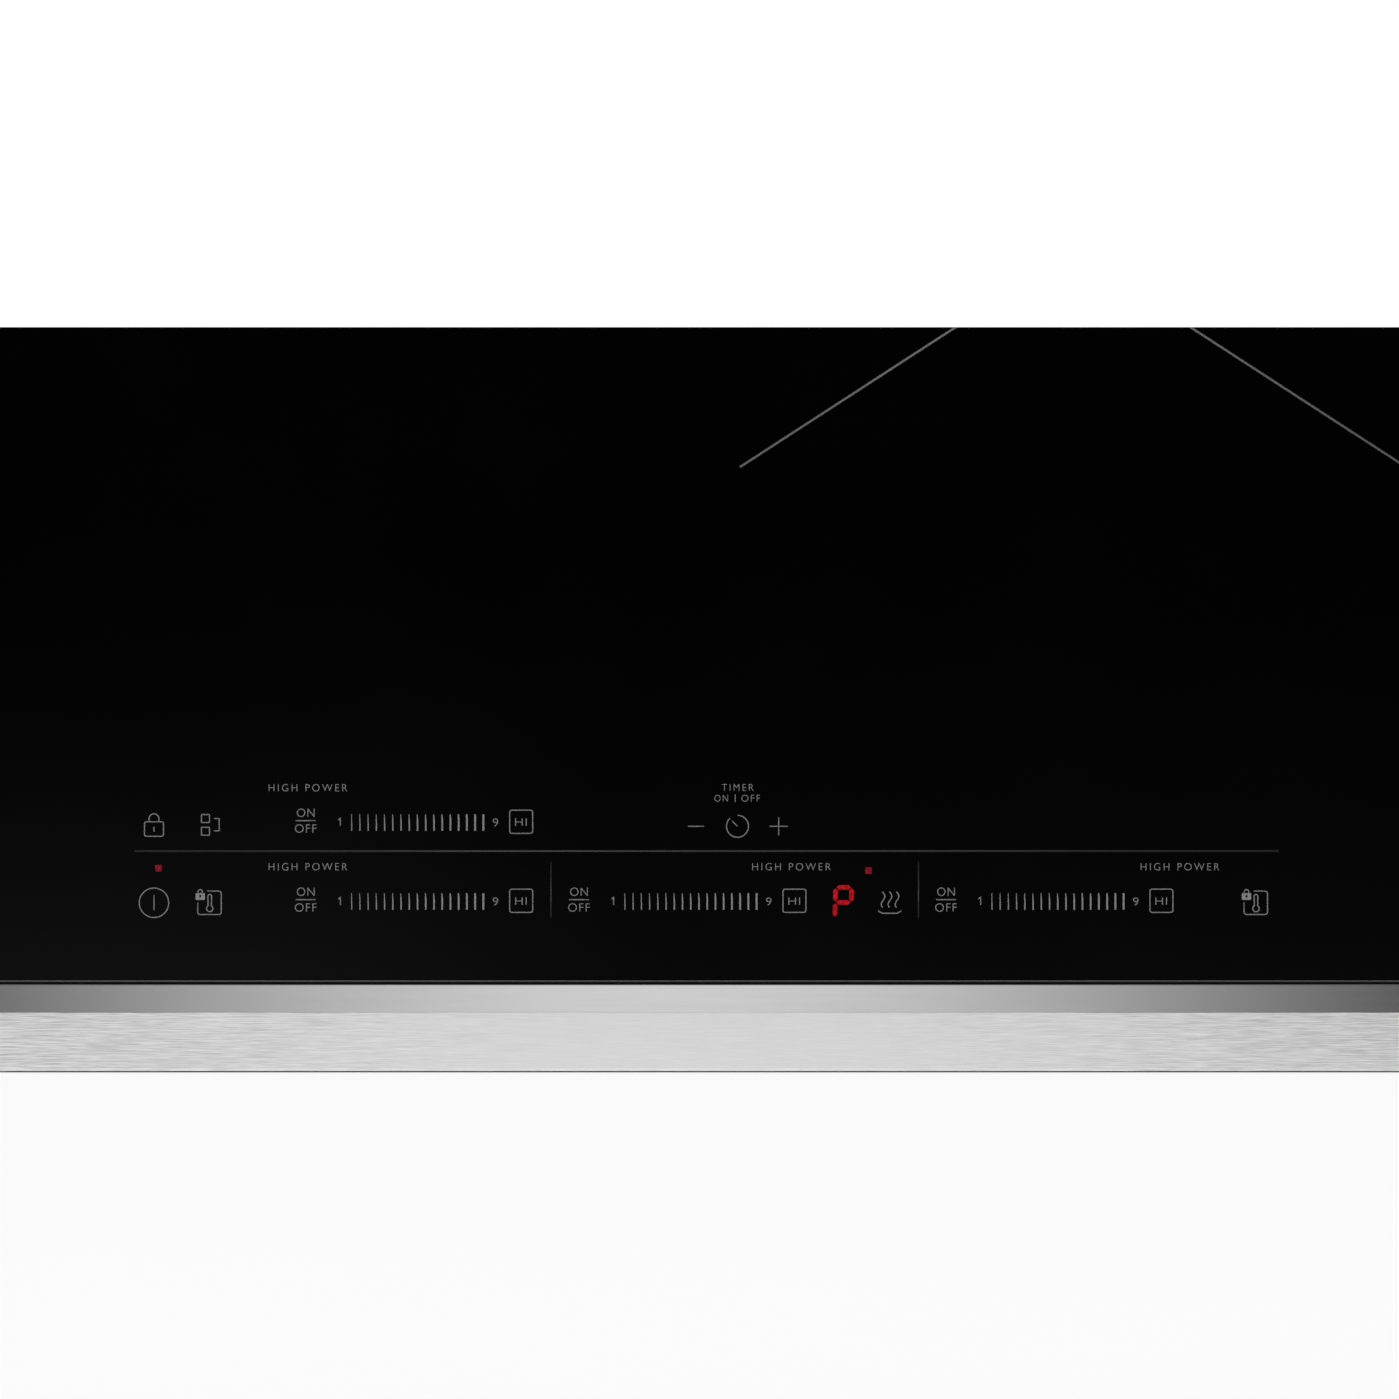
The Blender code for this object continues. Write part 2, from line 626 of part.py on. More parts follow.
def lug_outline():
    """(y, z) points of a hook that stands off the notch wall and holds the hinge pin from below."""
    seat = PIN_RADIUS + GAP
    wall = NOTCH_Y - TRAY_SHEET / 2
    reach = PIN_Y + seat + LUG_WALL
    points = [(wall, PIN_Z - seat - LUG_WALL), (reach, PIN_Z - seat - LUG_WALL), (reach, PIN_Z)]
    for step in range(LUG_STEPS + 1):
        turn = -step * math.pi / LUG_STEPS
        points.append((PIN_Y + seat * math.cos(turn), PIN_Z + seat * math.sin(turn)))
    points.append((PIN_Y - seat, PIN_Z + KNUCKLE_RADIUS))
    points.append((wall, PIN_Z + KNUCKLE_RADIUS))
    return points


def make_tray():
    """Folded steel tray, open at the top, with a notch in its rear right corner for the mains inlet."""
    bm = prism(tray_outline(), 0, BOX_HEIGHT - GAP)
    bmesh.ops.recalc_face_normals(bm, faces=bm.faces)
    lids = [face for face in bm.faces if face.normal.z > 0.5]
    bmesh.ops.delete(bm, geom=lids, context="FACES_ONLY")
    mesh = bpy.data.meshes.new("housing_tray")
    bm.to_mesh(mesh)
    bm.free()
    mesh.materials.append(ZINC_STEEL)
    tray = bpy.data.objects.new("housing_tray", mesh)
    bpy.context.scene.collection.objects.link(tray)
    solidify(tray, TRAY_SHEET)
    lugs = bmesh.new()
    for start in (COVER_X - LUG_LENGTH - GAP, COVER_X + COVER_WIDTH + GAP):
        add_extruded(lugs, [(start, y, z) for y, z in lug_outline()], (LUG_LENGTH, 0, 0))
    boolean(tray, tool("hinge_lugs_tool", lugs), "UNION")
    boolean(tray, tray_cutters(), "DIFFERENCE")


# Coils on their carrier


def make_carrier():
    """Aluminium bench that stands on the tray's floor, holed at each coil's centre."""
    front = TRAY_FRONT + CARRIER_FRONT
    rear = TRAY_REAR - TRAY_SHEET - CARRIER_REAR_GAP
    line = [(-CARRIER_X + CARRIER_FOOT, FLOOR_TOP), (-CARRIER_X, FLOOR_TOP), (-CARRIER_X, CARRIER_TOP),
            (CARRIER_X, CARRIER_TOP), (CARRIER_X, FLOOR_TOP), (CARRIER_X - CARRIER_FOOT, FLOOR_TOP)]
    sheet = folded_sheet([(x, front, z) for x, z in line], (0, rear - front, 0))
    carrier = placed("coil_carrier", sheet, ALUMINIUM)
    orient_outwards(carrier, probe=(0, 0, CARRIER_TOP), outwards=(0, 0, 1))
    solidify(carrier, CARRIER_SHEET)
    bm = bmesh.new()
    for x, y in COIL_PLACES.values():
        bmesh.ops.create_cone(
            bm, cap_ends=True, segments=ROUND_SEGMENTS // 2, radius1=FERRITE_HOLE_RADIUS,
            radius2=FERRITE_HOLE_RADIUS, depth=2 * CUT_MARGIN, matrix=Matrix.Translation((x, y, CARRIER_TOP)),
        )
    add_box(bm, (NOTCH_X - CARRIER_REAR_GAP, NOTCH_Y - TRAY_SHEET - CARRIER_REAR_GAP - NIPPLE_LENGTH,
                 -CUT_MARGIN),
            (TRAY_X + CUT_MARGIN, REAR, CARRIER_TOP + CUT_MARGIN))
    boolean(carrier, tool("carrier_cutters", bm), "DIFFERENCE")


def star_outline(radius, bars):
    """A plan star of ferrite bars round a hub, bar by bar."""
    points = []
    half = FERRITE_BAR_WIDTH / 2
    root = math.sqrt(FERRITE_HUB_RADIUS ** 2 - half ** 2)
    spread = math.tau / bars
    for bar in range(bars):
        turn = Matrix.Rotation(bar * spread, 2)
        for corner in ((root, -half), (radius, -half), (radius, half), (root, half)):
            points.append(tuple(turn @ Vector(corner)))
    return points


def make_coil(zone, radius, place):
    """One cooking zone: ferrites, former, winding, insulating disc and temperature sensor."""
    here = (*place, 0)
    bars = LARGE_COIL_BARS if radius > LARGE_COIL_RADIUS else SMALL_COIL_BARS
    ferrite_low = FERRITE_TOP - FERRITE_THICKNESS
    bar_star = prism(star_outline(radius - FORMER_RIM, bars), ferrite_low, FERRITE_TOP)
    star = placed(f"ferrite_star_{zone}", bar_star, FERRITE, here)
    hole = turned([(0, ferrite_low - CUT_MARGIN), (FERRITE_HOLE_RADIUS, ferrite_low - CUT_MARGIN),
                   (FERRITE_HOLE_RADIUS, FERRITE_TOP + CUT_MARGIN), (0, FERRITE_TOP + CUT_MARGIN)],
                  ROUND_SEGMENTS // 2, closed=False)
    boolean(star, tool(f"ferrite_hole_{zone}", hole, here), "DIFFERENCE")
    rim_inner = radius + GAP
    former_low = FORMER_TOP - FORMER_SHEET
    former = turned([
        (DISC_HOLE_RADIUS, former_low), (rim_inner + FORMER_RIM, former_low),
        (rim_inner + FORMER_RIM, WINDING_TOP), (rim_inner, WINDING_TOP), (rim_inner, FORMER_TOP),
        (COIL_HOLE_RADIUS - GAP, FORMER_TOP), (COIL_HOLE_RADIUS - GAP, WINDING_TOP),
        (DISC_HOLE_RADIUS, WINDING_TOP),
    ])
    placed(f"coil_former_{zone}", former, BLACK_PLASTIC, here, smooth=True)
    winding = ring(COIL_HOLE_RADIUS, radius, WINDING_TOP - WINDING_THICKNESS, WINDING_TOP)
    placed(f"coil_winding_{zone}", winding, COPPER, here, smooth=True)
    disc = ring(DISC_HOLE_RADIUS, rim_inner + FORMER_RIM, DISC_TOP - DISC_THICKNESS, DISC_TOP)
    placed(f"insulation_disc_{zone}", disc, MICA, here, smooth=True)
    flange_top = ferrite_low + SENSOR_FLANGE_THICKNESS
    sensor = turned([
        (0, CARRIER_TOP + GAP), (SENSOR_FLANGE_RADIUS, CARRIER_TOP + GAP), (SENSOR_FLANGE_RADIUS, flange_top),
        (SENSOR_RADIUS, flange_top), (SENSOR_RADIUS, DISC_TOP), (0, DISC_TOP),
    ], ROUND_SEGMENTS // 2, closed=False)
    placed(f"temperature_sensor_{zone}", sensor, WHITE_PLASTIC, here, smooth=True)


# Power electronics


def make_board(name, left, front, width, length):
    """A circuit board on four square legs that reach the tray's floor."""
    board = placed(name, box((left, front, BOARD_HEIGHT), (left + width, front + length, BOARD_TOP)),
                   BOARD_GREEN)
    bm = bmesh.new()
    for x in (left + BOARD_LEG_INSET, left + width - BOARD_LEG_INSET - BOARD_LEG):
        for y in (front + BOARD_LEG_INSET, front + length - BOARD_LEG_INSET - BOARD_LEG):
            add_box(bm, (x, y, FLOOR_TOP), (x + BOARD_LEG, y + BOARD_LEG, BOARD_HEIGHT + BOARD_THICKNESS / 2))
    boolean(board, tool(f"{name}_legs", bm), "UNION")


def heatsink_outline(mirror):
    """(x, z) points of a comb: an upright base with fins that stand out from it."""
    low = BOARD_TOP + GAP
    pitch = (HEATSINK_HEIGHT - HEATSINK_FIN) / (HEATSINK_FINS - 1)
    points = [(0, low), (0, low + HEATSINK_HEIGHT)]
    for fin in reversed(range(HEATSINK_FINS)):
        fin_low = low + fin * pitch
        tip = HEATSINK_BASE + HEATSINK_FIN_LENGTH
        if fin < HEATSINK_FINS - 1:
            points.append((HEATSINK_BASE, fin_low + HEATSINK_FIN))
        points.append((tip, fin_low + HEATSINK_FIN))
        points.append((tip, fin_low))
        if fin > 0:
            points.append((HEATSINK_BASE, fin_low))
    return [(mirror * x, z) for x, z in points]


def make_power_side(side, sign):
    """Power board, heat sink, clamped transistors and capacitor of one side."""
    inner = sign * (CARRIER_X - POWER_BOARD_FROM_SIDE - POWER_BOARD_WIDTH)
    left = inner if sign > 0 else inner - POWER_BOARD_WIDTH
    front = POWER_BOARD_FRONT
    make_board(f"power_board_{side}", left, front, POWER_BOARD_WIDTH, POWER_BOARD_LENGTH)
    sink_x = inner + sign * POWER_BOARD_WIDTH / 2
    sink_front = front + (POWER_BOARD_LENGTH - HEATSINK_LENGTH) / 2
    comb = extruded([(sink_x + x, sink_front, z) for x, z in heatsink_outline(sign)], (0, HEATSINK_LENGTH, 0))
    placed(f"heatsink_{side}", comb, ALUMINIUM)

    face = sink_x - sign * GAP
    back = face - sign * TRANSISTOR_DEPTH
    low = BOARD_TOP + GAP
    pitch = HEATSINK_LENGTH / (BANK_TRANSISTORS + 1)
    packages = bmesh.new()
    for i in range(BANK_TRANSISTORS):
        y = sink_front + (i + 1) * pitch
        add_box(packages, (min(face, back), y - TRANSISTOR_WIDTH / 2, low),
                (max(face, back), y + TRANSISTOR_WIDTH / 2, low + TRANSISTOR_HEIGHT))
    bar_back = back - sign * CLAMP_BAR_DEPTH
    bar_face = back + sign * TRANSISTOR_DEPTH / 2
    bar_low = low + (TRANSISTOR_HEIGHT - CLAMP_BAR_HEIGHT) / 2
    bar = box((min(bar_face, bar_back), sink_front + pitch - TRANSISTOR_WIDTH, bar_low),
              (max(bar_face, bar_back), sink_front + BANK_TRANSISTORS * pitch + TRANSISTOR_WIDTH,
               bar_low + CLAMP_BAR_HEIGHT))
    bank = placed(f"transistor_bank_{side}", bar, BLACK_PLASTIC)
    boolean(bank, tool(f"transistor_packages_{side}", packages), "UNION")

    can = turned([(0, low), (CAPACITOR_RADIUS, low), (CAPACITOR_RADIUS, low + CAPACITOR_HEIGHT),
                  (0, low + CAPACITOR_HEIGHT)], ROUND_SEGMENTS // 2, closed=False)
    can_x = inner + sign * (CAPACITOR_RADIUS + BOARD_LEG)
    placed(f"bus_capacitor_{side}", can, ALUMINIUM, (can_x, front + POWER_BOARD_LENGTH / 2, 0), smooth=True)


def make_filter():
    """Mains filter board with its toroidal choke."""
    left = NOTCH_X - CARRIER_REAR_GAP - GAP - FILTER_BOARD_WIDTH
    front = TRAY_REAR - TRAY_SHEET - CARRIER_REAR_GAP - FILTER_BOARD_LENGTH
    make_board("filter_board", left, front, FILTER_BOARD_WIDTH, FILTER_BOARD_LENGTH)
    low = BOARD_TOP + GAP
    edge = CHOKE_HEIGHT / 4
    choke = turned([
        (CHOKE_HOLE_RADIUS, low + edge), (CHOKE_HOLE_RADIUS + edge, low), (CHOKE_RADIUS - edge, low),
        (CHOKE_RADIUS, low + edge), (CHOKE_RADIUS, low + CHOKE_HEIGHT - edge),
        (CHOKE_RADIUS - edge, low + CHOKE_HEIGHT), (CHOKE_HOLE_RADIUS + edge, low + CHOKE_HEIGHT),
        (CHOKE_HOLE_RADIUS, low + CHOKE_HEIGHT - edge),
    ])
    placed("filter_choke", choke, COPPER, (left + FILTER_BOARD_WIDTH / 2, front + FILTER_BOARD_LENGTH / 2, 0),
           smooth=True)


# Fans


def make_fan(side, sign):
    """Axial fan: frame with struts and bearing, and the impeller on its shaft, which turn about Z."""
    here = (sign * FAN_FROM_CENTRE, FAN_Y, FLOOR_TOP)
    axle = bpy.data.objects.new(f"fan_axis_{side}", None)
    axle.location = here
    bpy.context.scene.collection.objects.link(axle)
    half = FAN_SIZE / 2
    bore = half - FAN_WALL
    body = prism(rounded(rectangle(-half, -half, half, half), FAN_CORNER_RADIUS), 0, FAN_THICKNESS)
    frame = placed(f"fan_frame_{side}", body, BLACK_PLASTIC, here)
    hole = turned([(0, -CUT_MARGIN), (bore, -CUT_MARGIN), (bore, FAN_THICKNESS + CUT_MARGIN),
                   (0, FAN_THICKNESS + CUT_MARGIN)], closed=False)
    boolean(frame, tool(f"fan_bore_{side}", hole, here), "DIFFERENCE")
    reach = half - FAN_WALL / 2
    width = STRUT_WIDTH / 2
    cross = [(-width, -width), (-width, -reach), (width, -reach), (width, -width), (reach, -width),
             (reach, width), (width, width), (width, reach), (-width, reach), (-width, width),
             (-reach, width), (-reach, -width)]
    boolean(frame, tool(f"fan_struts_{side}", prism(cross, 0, STRUT_THICKNESS), here), "UNION")
    bearing_radius = SHAFT_RADIUS + GAP + BEARING_WALL
    bearing_top = FAN_THICKNESS - HUB_WALL - STRUT_THICKNESS
    post = turned([(0, STRUT_THICKNESS / 2), (HUB_RADIUS - HUB_WALL, STRUT_THICKNESS / 2),
                   (HUB_RADIUS - HUB_WALL, STRUT_THICKNESS + HUB_WALL),
                   (bearing_radius, STRUT_THICKNESS + HUB_WALL), (bearing_radius, bearing_top),
                   (0, bearing_top)], ROUND_SEGMENTS // 2, closed=False)
    boolean(frame, tool(f"fan_bearing_{side}", post, here), "UNION")
    bearing_hole = turned([(0, STRUT_THICKNESS), (SHAFT_RADIUS + GAP, STRUT_THICKNESS),
                           (SHAFT_RADIUS + GAP, FAN_THICKNESS), (0, FAN_THICKNESS)],
                          ROUND_SEGMENTS // 4, closed=False)
    boolean(frame, tool(f"fan_bearing_hole_{side}", bearing_hole, here), "DIFFERENCE")

    skirt_low = STRUT_THICKNESS + 2 * HUB_WALL
    hub_top = FAN_THICKNESS - GAP
    hub = turned([
        (SHAFT_RADIUS + GAP, hub_top - HUB_WALL), (HUB_RADIUS - HUB_WALL, hub_top - HUB_WALL),
        (HUB_RADIUS - HUB_WALL, skirt_low), (HUB_RADIUS, skirt_low), (HUB_RADIUS, hub_top),
        (SHAFT_RADIUS + GAP, hub_top),
    ], ROUND_SEGMENTS // 2)
    impeller = placed(f"fan_impeller_{side}", hub, BLACK_PLASTIC)
    blades = bmesh.new()
    blade_root = HUB_RADIUS - HUB_WALL / 2
    blade_tip = bore - BLADE_CLEARANCE
    chord = (hub_top - skirt_low - HUB_WALL) / math.sin(BLADE_PITCH)
    middle_z = (hub_top + skirt_low) / 2
    for i in range(FAN_BLADES):
        turn = Matrix.Rotation(i * math.tau / FAN_BLADES, 4, "Z")
        lean = Matrix.Rotation(-BLADE_PITCH, 4, "X")
        shift = Matrix.Translation(((blade_root + blade_tip) / 2, 0, middle_z))
        size = Matrix.Diagonal((blade_tip - blade_root, chord, BLADE_THICKNESS, 1))
        bmesh.ops.create_cube(blades, size=1, matrix=turn @ shift @ lean @ size)
    blade_tool = tool(f"fan_blades_{side}", blades)
    boolean(impeller, blade_tool, "UNION")
    shaft = turned([(0, STRUT_THICKNESS + GAP), (SHAFT_RADIUS, STRUT_THICKNESS + GAP),
                    (SHAFT_RADIUS, hub_top), (0, hub_top)], ROUND_SEGMENTS // 4, closed=False)
    spindle = placed(f"fan_shaft_{side}", shaft, ZINC_STEEL, smooth=True)
    for obj in (impeller, blade_tool, spindle):
        obj.parent = axle


# Touch controls


def make_controls():
    """Moulded tray under the glass, with the touch board on its ledge and four digit displays."""
    low = GLASS_UNDER - GAP - CONTROL_HEIGHT
    rim = GLASS_UNDER - GAP
    front = FRONT + CONTROL_FROM_FRONT
    rear = front + CONTROL_DEPTH
    half = CONTROL_WIDTH / 2
    tray = placed("control_tray", box((-half, front, low), (half, rear, rim)), BLACK_PLASTIC)
    board_low = rim - CONTROL_BOARD_DROP - BOARD_THICKNESS
    wall = CONTROL_WALL
    ledge = CONTROL_WALL + CONTROL_LEDGE
    upper = box((-half + wall, front + wall, board_low - GAP), (half - wall, rear - wall, rim + CUT_MARGIN))
    lower = box((-half + ledge, front + ledge, low + wall), (half - ledge, rear - ledge, rim))
    boolean(tray, tool("control_upper_room", upper), "DIFFERENCE")
    boolean(tray, tool("control_lower_room", lower), "DIFFERENCE")
    inset = wall + GAP
    placed("touch_board",
           box((-half + inset, front + inset, board_low),
               (half - inset, rear - inset, board_low + BOARD_THICKNESS)), BOARD_GREEN)
    for zone, (x, from_front) in DISPLAY_PLACES.items():
        y = FRONT + from_front
        placed(f"display_{zone}",
               box((x - DISPLAY_WIDTH / 2, y - DISPLAY_LENGTH / 2, board_low + BOARD_THICKNESS + GAP),
                   (x + DISPLAY_WIDTH / 2, y + DISPLAY_LENGTH / 2, rim)), WHITE_PLASTIC)


# Mains terminals


def make_terminals():
    """Terminal block inside the tray, its hinged cover outside, and the conduit gland with its locknut."""
    wall_inner = NOTCH_Y - TRAY_SHEET
    rear = wall_inner - TERMINAL_FROM_WALL
    left = COVER_X + (COVER_WIDTH - TERMINAL_WIDTH) / 2
    way = TERMINAL_WIDTH / TERMINAL_WAYS
    step = TERMINAL_HEIGHT / 3
    points = [(left, FLOOR_TOP), (left + TERMINAL_WIDTH, FLOOR_TOP)]
    for i in reversed(range(TERMINAL_WAYS)):
        start = left + i * way
        points.extend([(start + way, FLOOR_TOP + TERMINAL_HEIGHT),
                       (start + way - TERMINAL_RIB, FLOOR_TOP + TERMINAL_HEIGHT),
                       (start + way - TERMINAL_RIB, FLOOR_TOP + TERMINAL_HEIGHT - step),
                       (start + TERMINAL_RIB, FLOOR_TOP + TERMINAL_HEIGHT - step),
                       (start + TERMINAL_RIB, FLOOR_TOP + TERMINAL_HEIGHT)])
    points.append((left, FLOOR_TOP + TERMINAL_HEIGHT))
    block = extruded([(x, rear - TERMINAL_DEPTH, z) for x, z in points], (0, TERMINAL_DEPTH, 0))
    placed("terminal_block", block, WHITE_PLASTIC)

    hinge = bpy.data.objects.new("cover_hinge_axis", None)
    hinge.location = (COVER_X + COVER_WIDTH / 2, PIN_Y, PIN_Z)
    bpy.context.scene.collection.objects.link(hinge)
    plate_near = NOTCH_Y + GAP - PIN_Y
    plate = box((-COVER_WIDTH / 2, plate_near, COVER_BASE - PIN_Z),
                (COVER_WIDTH / 2, plate_near + COVER_SHEET, -PIN_RADIUS - GAP))
    cover = placed("terminal_cover", plate, BLACK_PLASTIC)
    knuckles = bmesh.new()
    along_x = Matrix.Rotation(math.pi / 2, 4, "Y")
    for start in (-COVER_WIDTH / 2, COVER_WIDTH / 2 - KNUCKLE_LENGTH):
        bmesh.ops.create_cone(
            knuckles, cap_ends=True, segments=ROUND_SEGMENTS // 2, radius1=KNUCKLE_RADIUS,
            radius2=KNUCKLE_RADIUS, depth=KNUCKLE_LENGTH,
            matrix=Matrix.Translation((start + KNUCKLE_LENGTH / 2, 0, 0)) @ along_x,
        )
    bore = bmesh.new()
    bmesh.ops.create_cone(
        bore, cap_ends=True, segments=ROUND_SEGMENTS // 2, radius1=PIN_RADIUS + GAP,
        radius2=PIN_RADIUS + GAP, depth=COVER_WIDTH + 2 * CUT_MARGIN, matrix=along_x,
    )
    knuckle_tool = tool("cover_knuckles_tool", knuckles)
    bore_tool = tool("cover_bore_tool", bore)
    boolean(cover, knuckle_tool, "UNION")
    boolean(cover, bore_tool, "DIFFERENCE")
    for obj in (cover, knuckle_tool, bore_tool):
        obj.parent = hinge
    pin = turned([(0, 0), (PIN_RADIUS, 0), (PIN_RADIUS, COVER_WIDTH + 2 * (GAP + LUG_LENGTH)),
                  (0, COVER_WIDTH + 2 * (GAP + LUG_LENGTH))], ROUND_SEGMENTS // 2, closed=False)
    rod = placed("cover_hinge_pin", pin, ZINC_STEEL, (COVER_X - GAP - LUG_LENGTH, PIN_Y, PIN_Z), smooth=True)
    rod.rotation_euler = (0, math.pi / 2, 0)

    gland = turned([
        (GLAND_BORE, -NIPPLE_LENGTH), (NIPPLE_RADIUS, -NIPPLE_LENGTH), (NIPPLE_RADIUS, GAP),
        (GLAND_FLANGE_RADIUS, GAP), (GLAND_FLANGE_RADIUS, GLAND_FLANGE), (GLAND_RADIUS, GLAND_FLANGE),
        (GLAND_RADIUS, GLAND_LENGTH), (GLAND_BORE, GLAND_LENGTH),
    ], ROUND_SEGMENTS // 2)
    spot = (TRAY_X - GLAND_FROM_SIDE, NOTCH_Y, GLAND_HEIGHT)
    body = placed("conduit_gland", gland, ZINC_STEEL, spot, smooth=True)
    body.rotation_euler = (-math.pi / 2, 0, 0)
    nut_top = -TRAY_SHEET - GAP
    nut = ring(NIPPLE_RADIUS + GAP, LOCKNUT_RADIUS, nut_top - LOCKNUT_THICKNESS, nut_top, ROUND_SEGMENTS // 2)
    locknut = placed("gland_locknut", nut, ZINC_STEEL, spot)
    locknut.rotation_euler = (-math.pi / 2, 0, 0)


# Hold-down clamps


def make_clamp(side, sign):
    """Bracket on the tray's side wall, and the screw that lifts against the worktop's underside."""
    near = sign * (TRAY_X + GAP)
    thick = sign * BRACKET_SHEET
    far = near + sign * BRACKET_REACH
    top = BOX_HEIGHT - BRACKET_TOP_BELOW_WORKTOP
    foot = BRACKET_FOOT_Z
    outline = [(near, foot), (far, foot), (far, foot + BRACKET_SHEET), (near + thick, foot + BRACKET_SHEET),
               (near + thick, top), (near, top)]
    bm = extruded([(x, -BRACKET_WIDTH / 2, z) for x, z in outline], (0, BRACKET_WIDTH, 0))
    bracket = placed(f"hold_down_bracket_{side}", bm, ZINC_STEEL)
    axis_x = sign * (TRAY_X + CLAMP_FROM_WALL)
    hole = turned([(0, foot - CUT_MARGIN), (CLAMP_RADIUS + GAP, foot - CUT_MARGIN),
                   (CLAMP_RADIUS + GAP, foot + BRACKET_SHEET + CUT_MARGIN),
                   (0, foot + BRACKET_SHEET + CUT_MARGIN)], ROUND_SEGMENTS // 2, closed=False)
    boolean(bracket, tool(f"clamp_hole_{side}", hole, (axis_x, 0, 0)), "DIFFERENCE")
    tip = CLAMP_HEAD_HEIGHT + CLAMP_LENGTH
    screw = turned([
        (0, 0), (CLAMP_HEAD_RADIUS, 0), (CLAMP_HEAD_RADIUS, CLAMP_HEAD_HEIGHT),
        (CLAMP_RADIUS, CLAMP_HEAD_HEIGHT), (CLAMP_RADIUS, tip - CLAMP_PAD_HEIGHT),
        (CLAMP_PAD_RADIUS, tip - CLAMP_PAD_HEIGHT), (CLAMP_PAD_RADIUS, tip), (0, tip),
    ], ROUND_SEGMENTS // 2, closed=False)
    placed(f"clamp_screw_{side}", screw, ZINC_STEEL, (axis_x, 0, CLAMP_HEAD_Z), smooth=True)


clear_scene()
make_glass_top()
make_front_rail()
make_seal()
make_tray()
make_carrier()
for zone_name, coil_radius in COIL_RADIUS.items():
    make_coil(zone_name, coil_radius, COIL_PLACES[zone_name])
for side_name, side_sign in (("left", -1), ("right", 1)):
    make_power_side(side_name, side_sign)
    make_fan(side_name, side_sign)
    make_clamp(side_name, side_sign)
make_filter()
make_controls()
make_terminals()
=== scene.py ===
"""Four-zone induction cooktop: the looks of every piece.

Metres, +Z up, front edge at -Y. Sections follow the cooktop as it is put together.
"""

import math

import bmesh
import bpy
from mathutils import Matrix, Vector


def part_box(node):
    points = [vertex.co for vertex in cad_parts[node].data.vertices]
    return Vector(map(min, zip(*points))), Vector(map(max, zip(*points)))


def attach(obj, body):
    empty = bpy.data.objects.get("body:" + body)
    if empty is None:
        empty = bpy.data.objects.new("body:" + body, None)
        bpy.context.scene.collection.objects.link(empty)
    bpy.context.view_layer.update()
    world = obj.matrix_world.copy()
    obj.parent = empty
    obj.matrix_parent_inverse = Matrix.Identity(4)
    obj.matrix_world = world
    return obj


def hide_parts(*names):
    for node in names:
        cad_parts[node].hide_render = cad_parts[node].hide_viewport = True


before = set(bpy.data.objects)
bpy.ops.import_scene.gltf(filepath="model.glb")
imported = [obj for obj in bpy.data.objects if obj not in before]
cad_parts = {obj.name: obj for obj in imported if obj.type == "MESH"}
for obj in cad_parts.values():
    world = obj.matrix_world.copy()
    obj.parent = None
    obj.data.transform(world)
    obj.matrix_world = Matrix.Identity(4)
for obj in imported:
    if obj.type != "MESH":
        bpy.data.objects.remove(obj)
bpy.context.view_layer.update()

# Glass top. One plate of black glass-ceramic, 4 mm thick and polished, with its edges ground matt and
# round, and two round corners at the rear. It lies on a bead of silicone, and reaches 0.5 mm further
# forward than its solid, so that the joint to the rail is narrow.
MM = 0.001
GROUND_EDGE = 0.7 * MM
GLASS_CORNER = 6 * MM
glass_low, glass_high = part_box("glass_top")
GLASS_REACH = 0.5 * MM
glass_front = glass_low.y - GLASS_REACH


def linear(code):
    """An sRGB hex colour as linear RGBA."""
    parts = [int(code[i:i + 2], 16) / 255 for i in (0, 2, 4)]
    return (*[c / 12.92 if c <= 0.04045 else ((c + 0.055) / 1.055) ** 2.4 for c in parts], 1)


def add_node(tree, kind, inputs=None, **settings):
    """Adds a node to a tree. An input is a value, or the output of another node that it is linked to."""
    node = tree.nodes.new(kind)
    for name, value in settings.items():
        setattr(node, name, value)
    for name, value in (inputs or {}).items():
        if isinstance(value, bpy.types.NodeSocket):
            tree.links.new(value, node.inputs[name])
        else:
            node.inputs[name].default_value = value
    return node


def new_material(name, **sockets):
    """A Principled material. Returns it with its tree, its shader and its object coordinates."""
    made = bpy.data.materials.new(name)
    made.use_nodes = True
    tree = made.node_tree
    shader = tree.nodes["Principled BSDF"]
    for socket, value in sockets.items():
        shader.inputs[socket.replace("_", " ")].default_value = value
    return made, tree, shader, add_node(tree, "ShaderNodeTexCoord").outputs["Object"]


# Black glass-ceramic: a polished plate that shows nothing but reflections, with patches of haze about
# 80 mm across from wiping.
glass_ceramic, tree, shader, place = new_material(
    "glass_ceramic_black_polished", Base_Color=linear("010101"), IOR=1.53)
haze = add_node(tree, "ShaderNodeTexNoise", {"Vector": place, "Scale": 12.0, "Detail": 3.0})
wiped = add_node(tree, "ShaderNodeMapRange", {
    "Value": haze.outputs["Fac"], "From Min": 0.35, "From Max": 0.65, "To Min": 0.045, "To Max": 0.085})
tree.links.new(wiped.outputs["Result"], shader.inputs["Roughness"])

# Its ground edge: the grinding wheel leaves it grey and matt, with a fine grain of about 0.3 mm.
ground_glass, tree, shader, place = new_material("glass_ceramic_ground_edge", IOR=1.53, Roughness=0.42)
grain = add_node(tree, "ShaderNodeTexNoise", {"Vector": place, "Scale": 3000.0, "Detail": 2.0}).outputs["Fac"]
tone = add_node(tree, "ShaderNodeMix", {0: grain, 6: linear("303133"), 7: linear("48494b")}, data_type="RGBA")
tree.links.new(tone.outputs[2], shader.inputs["Base Color"])
rough = add_node(tree, "ShaderNodeBump", {"Height": grain, "Strength": 0.3, "Distance": 0.05 * MM})
tree.links.new(rough.outputs["Normal"], shader.inputs["Normal"])


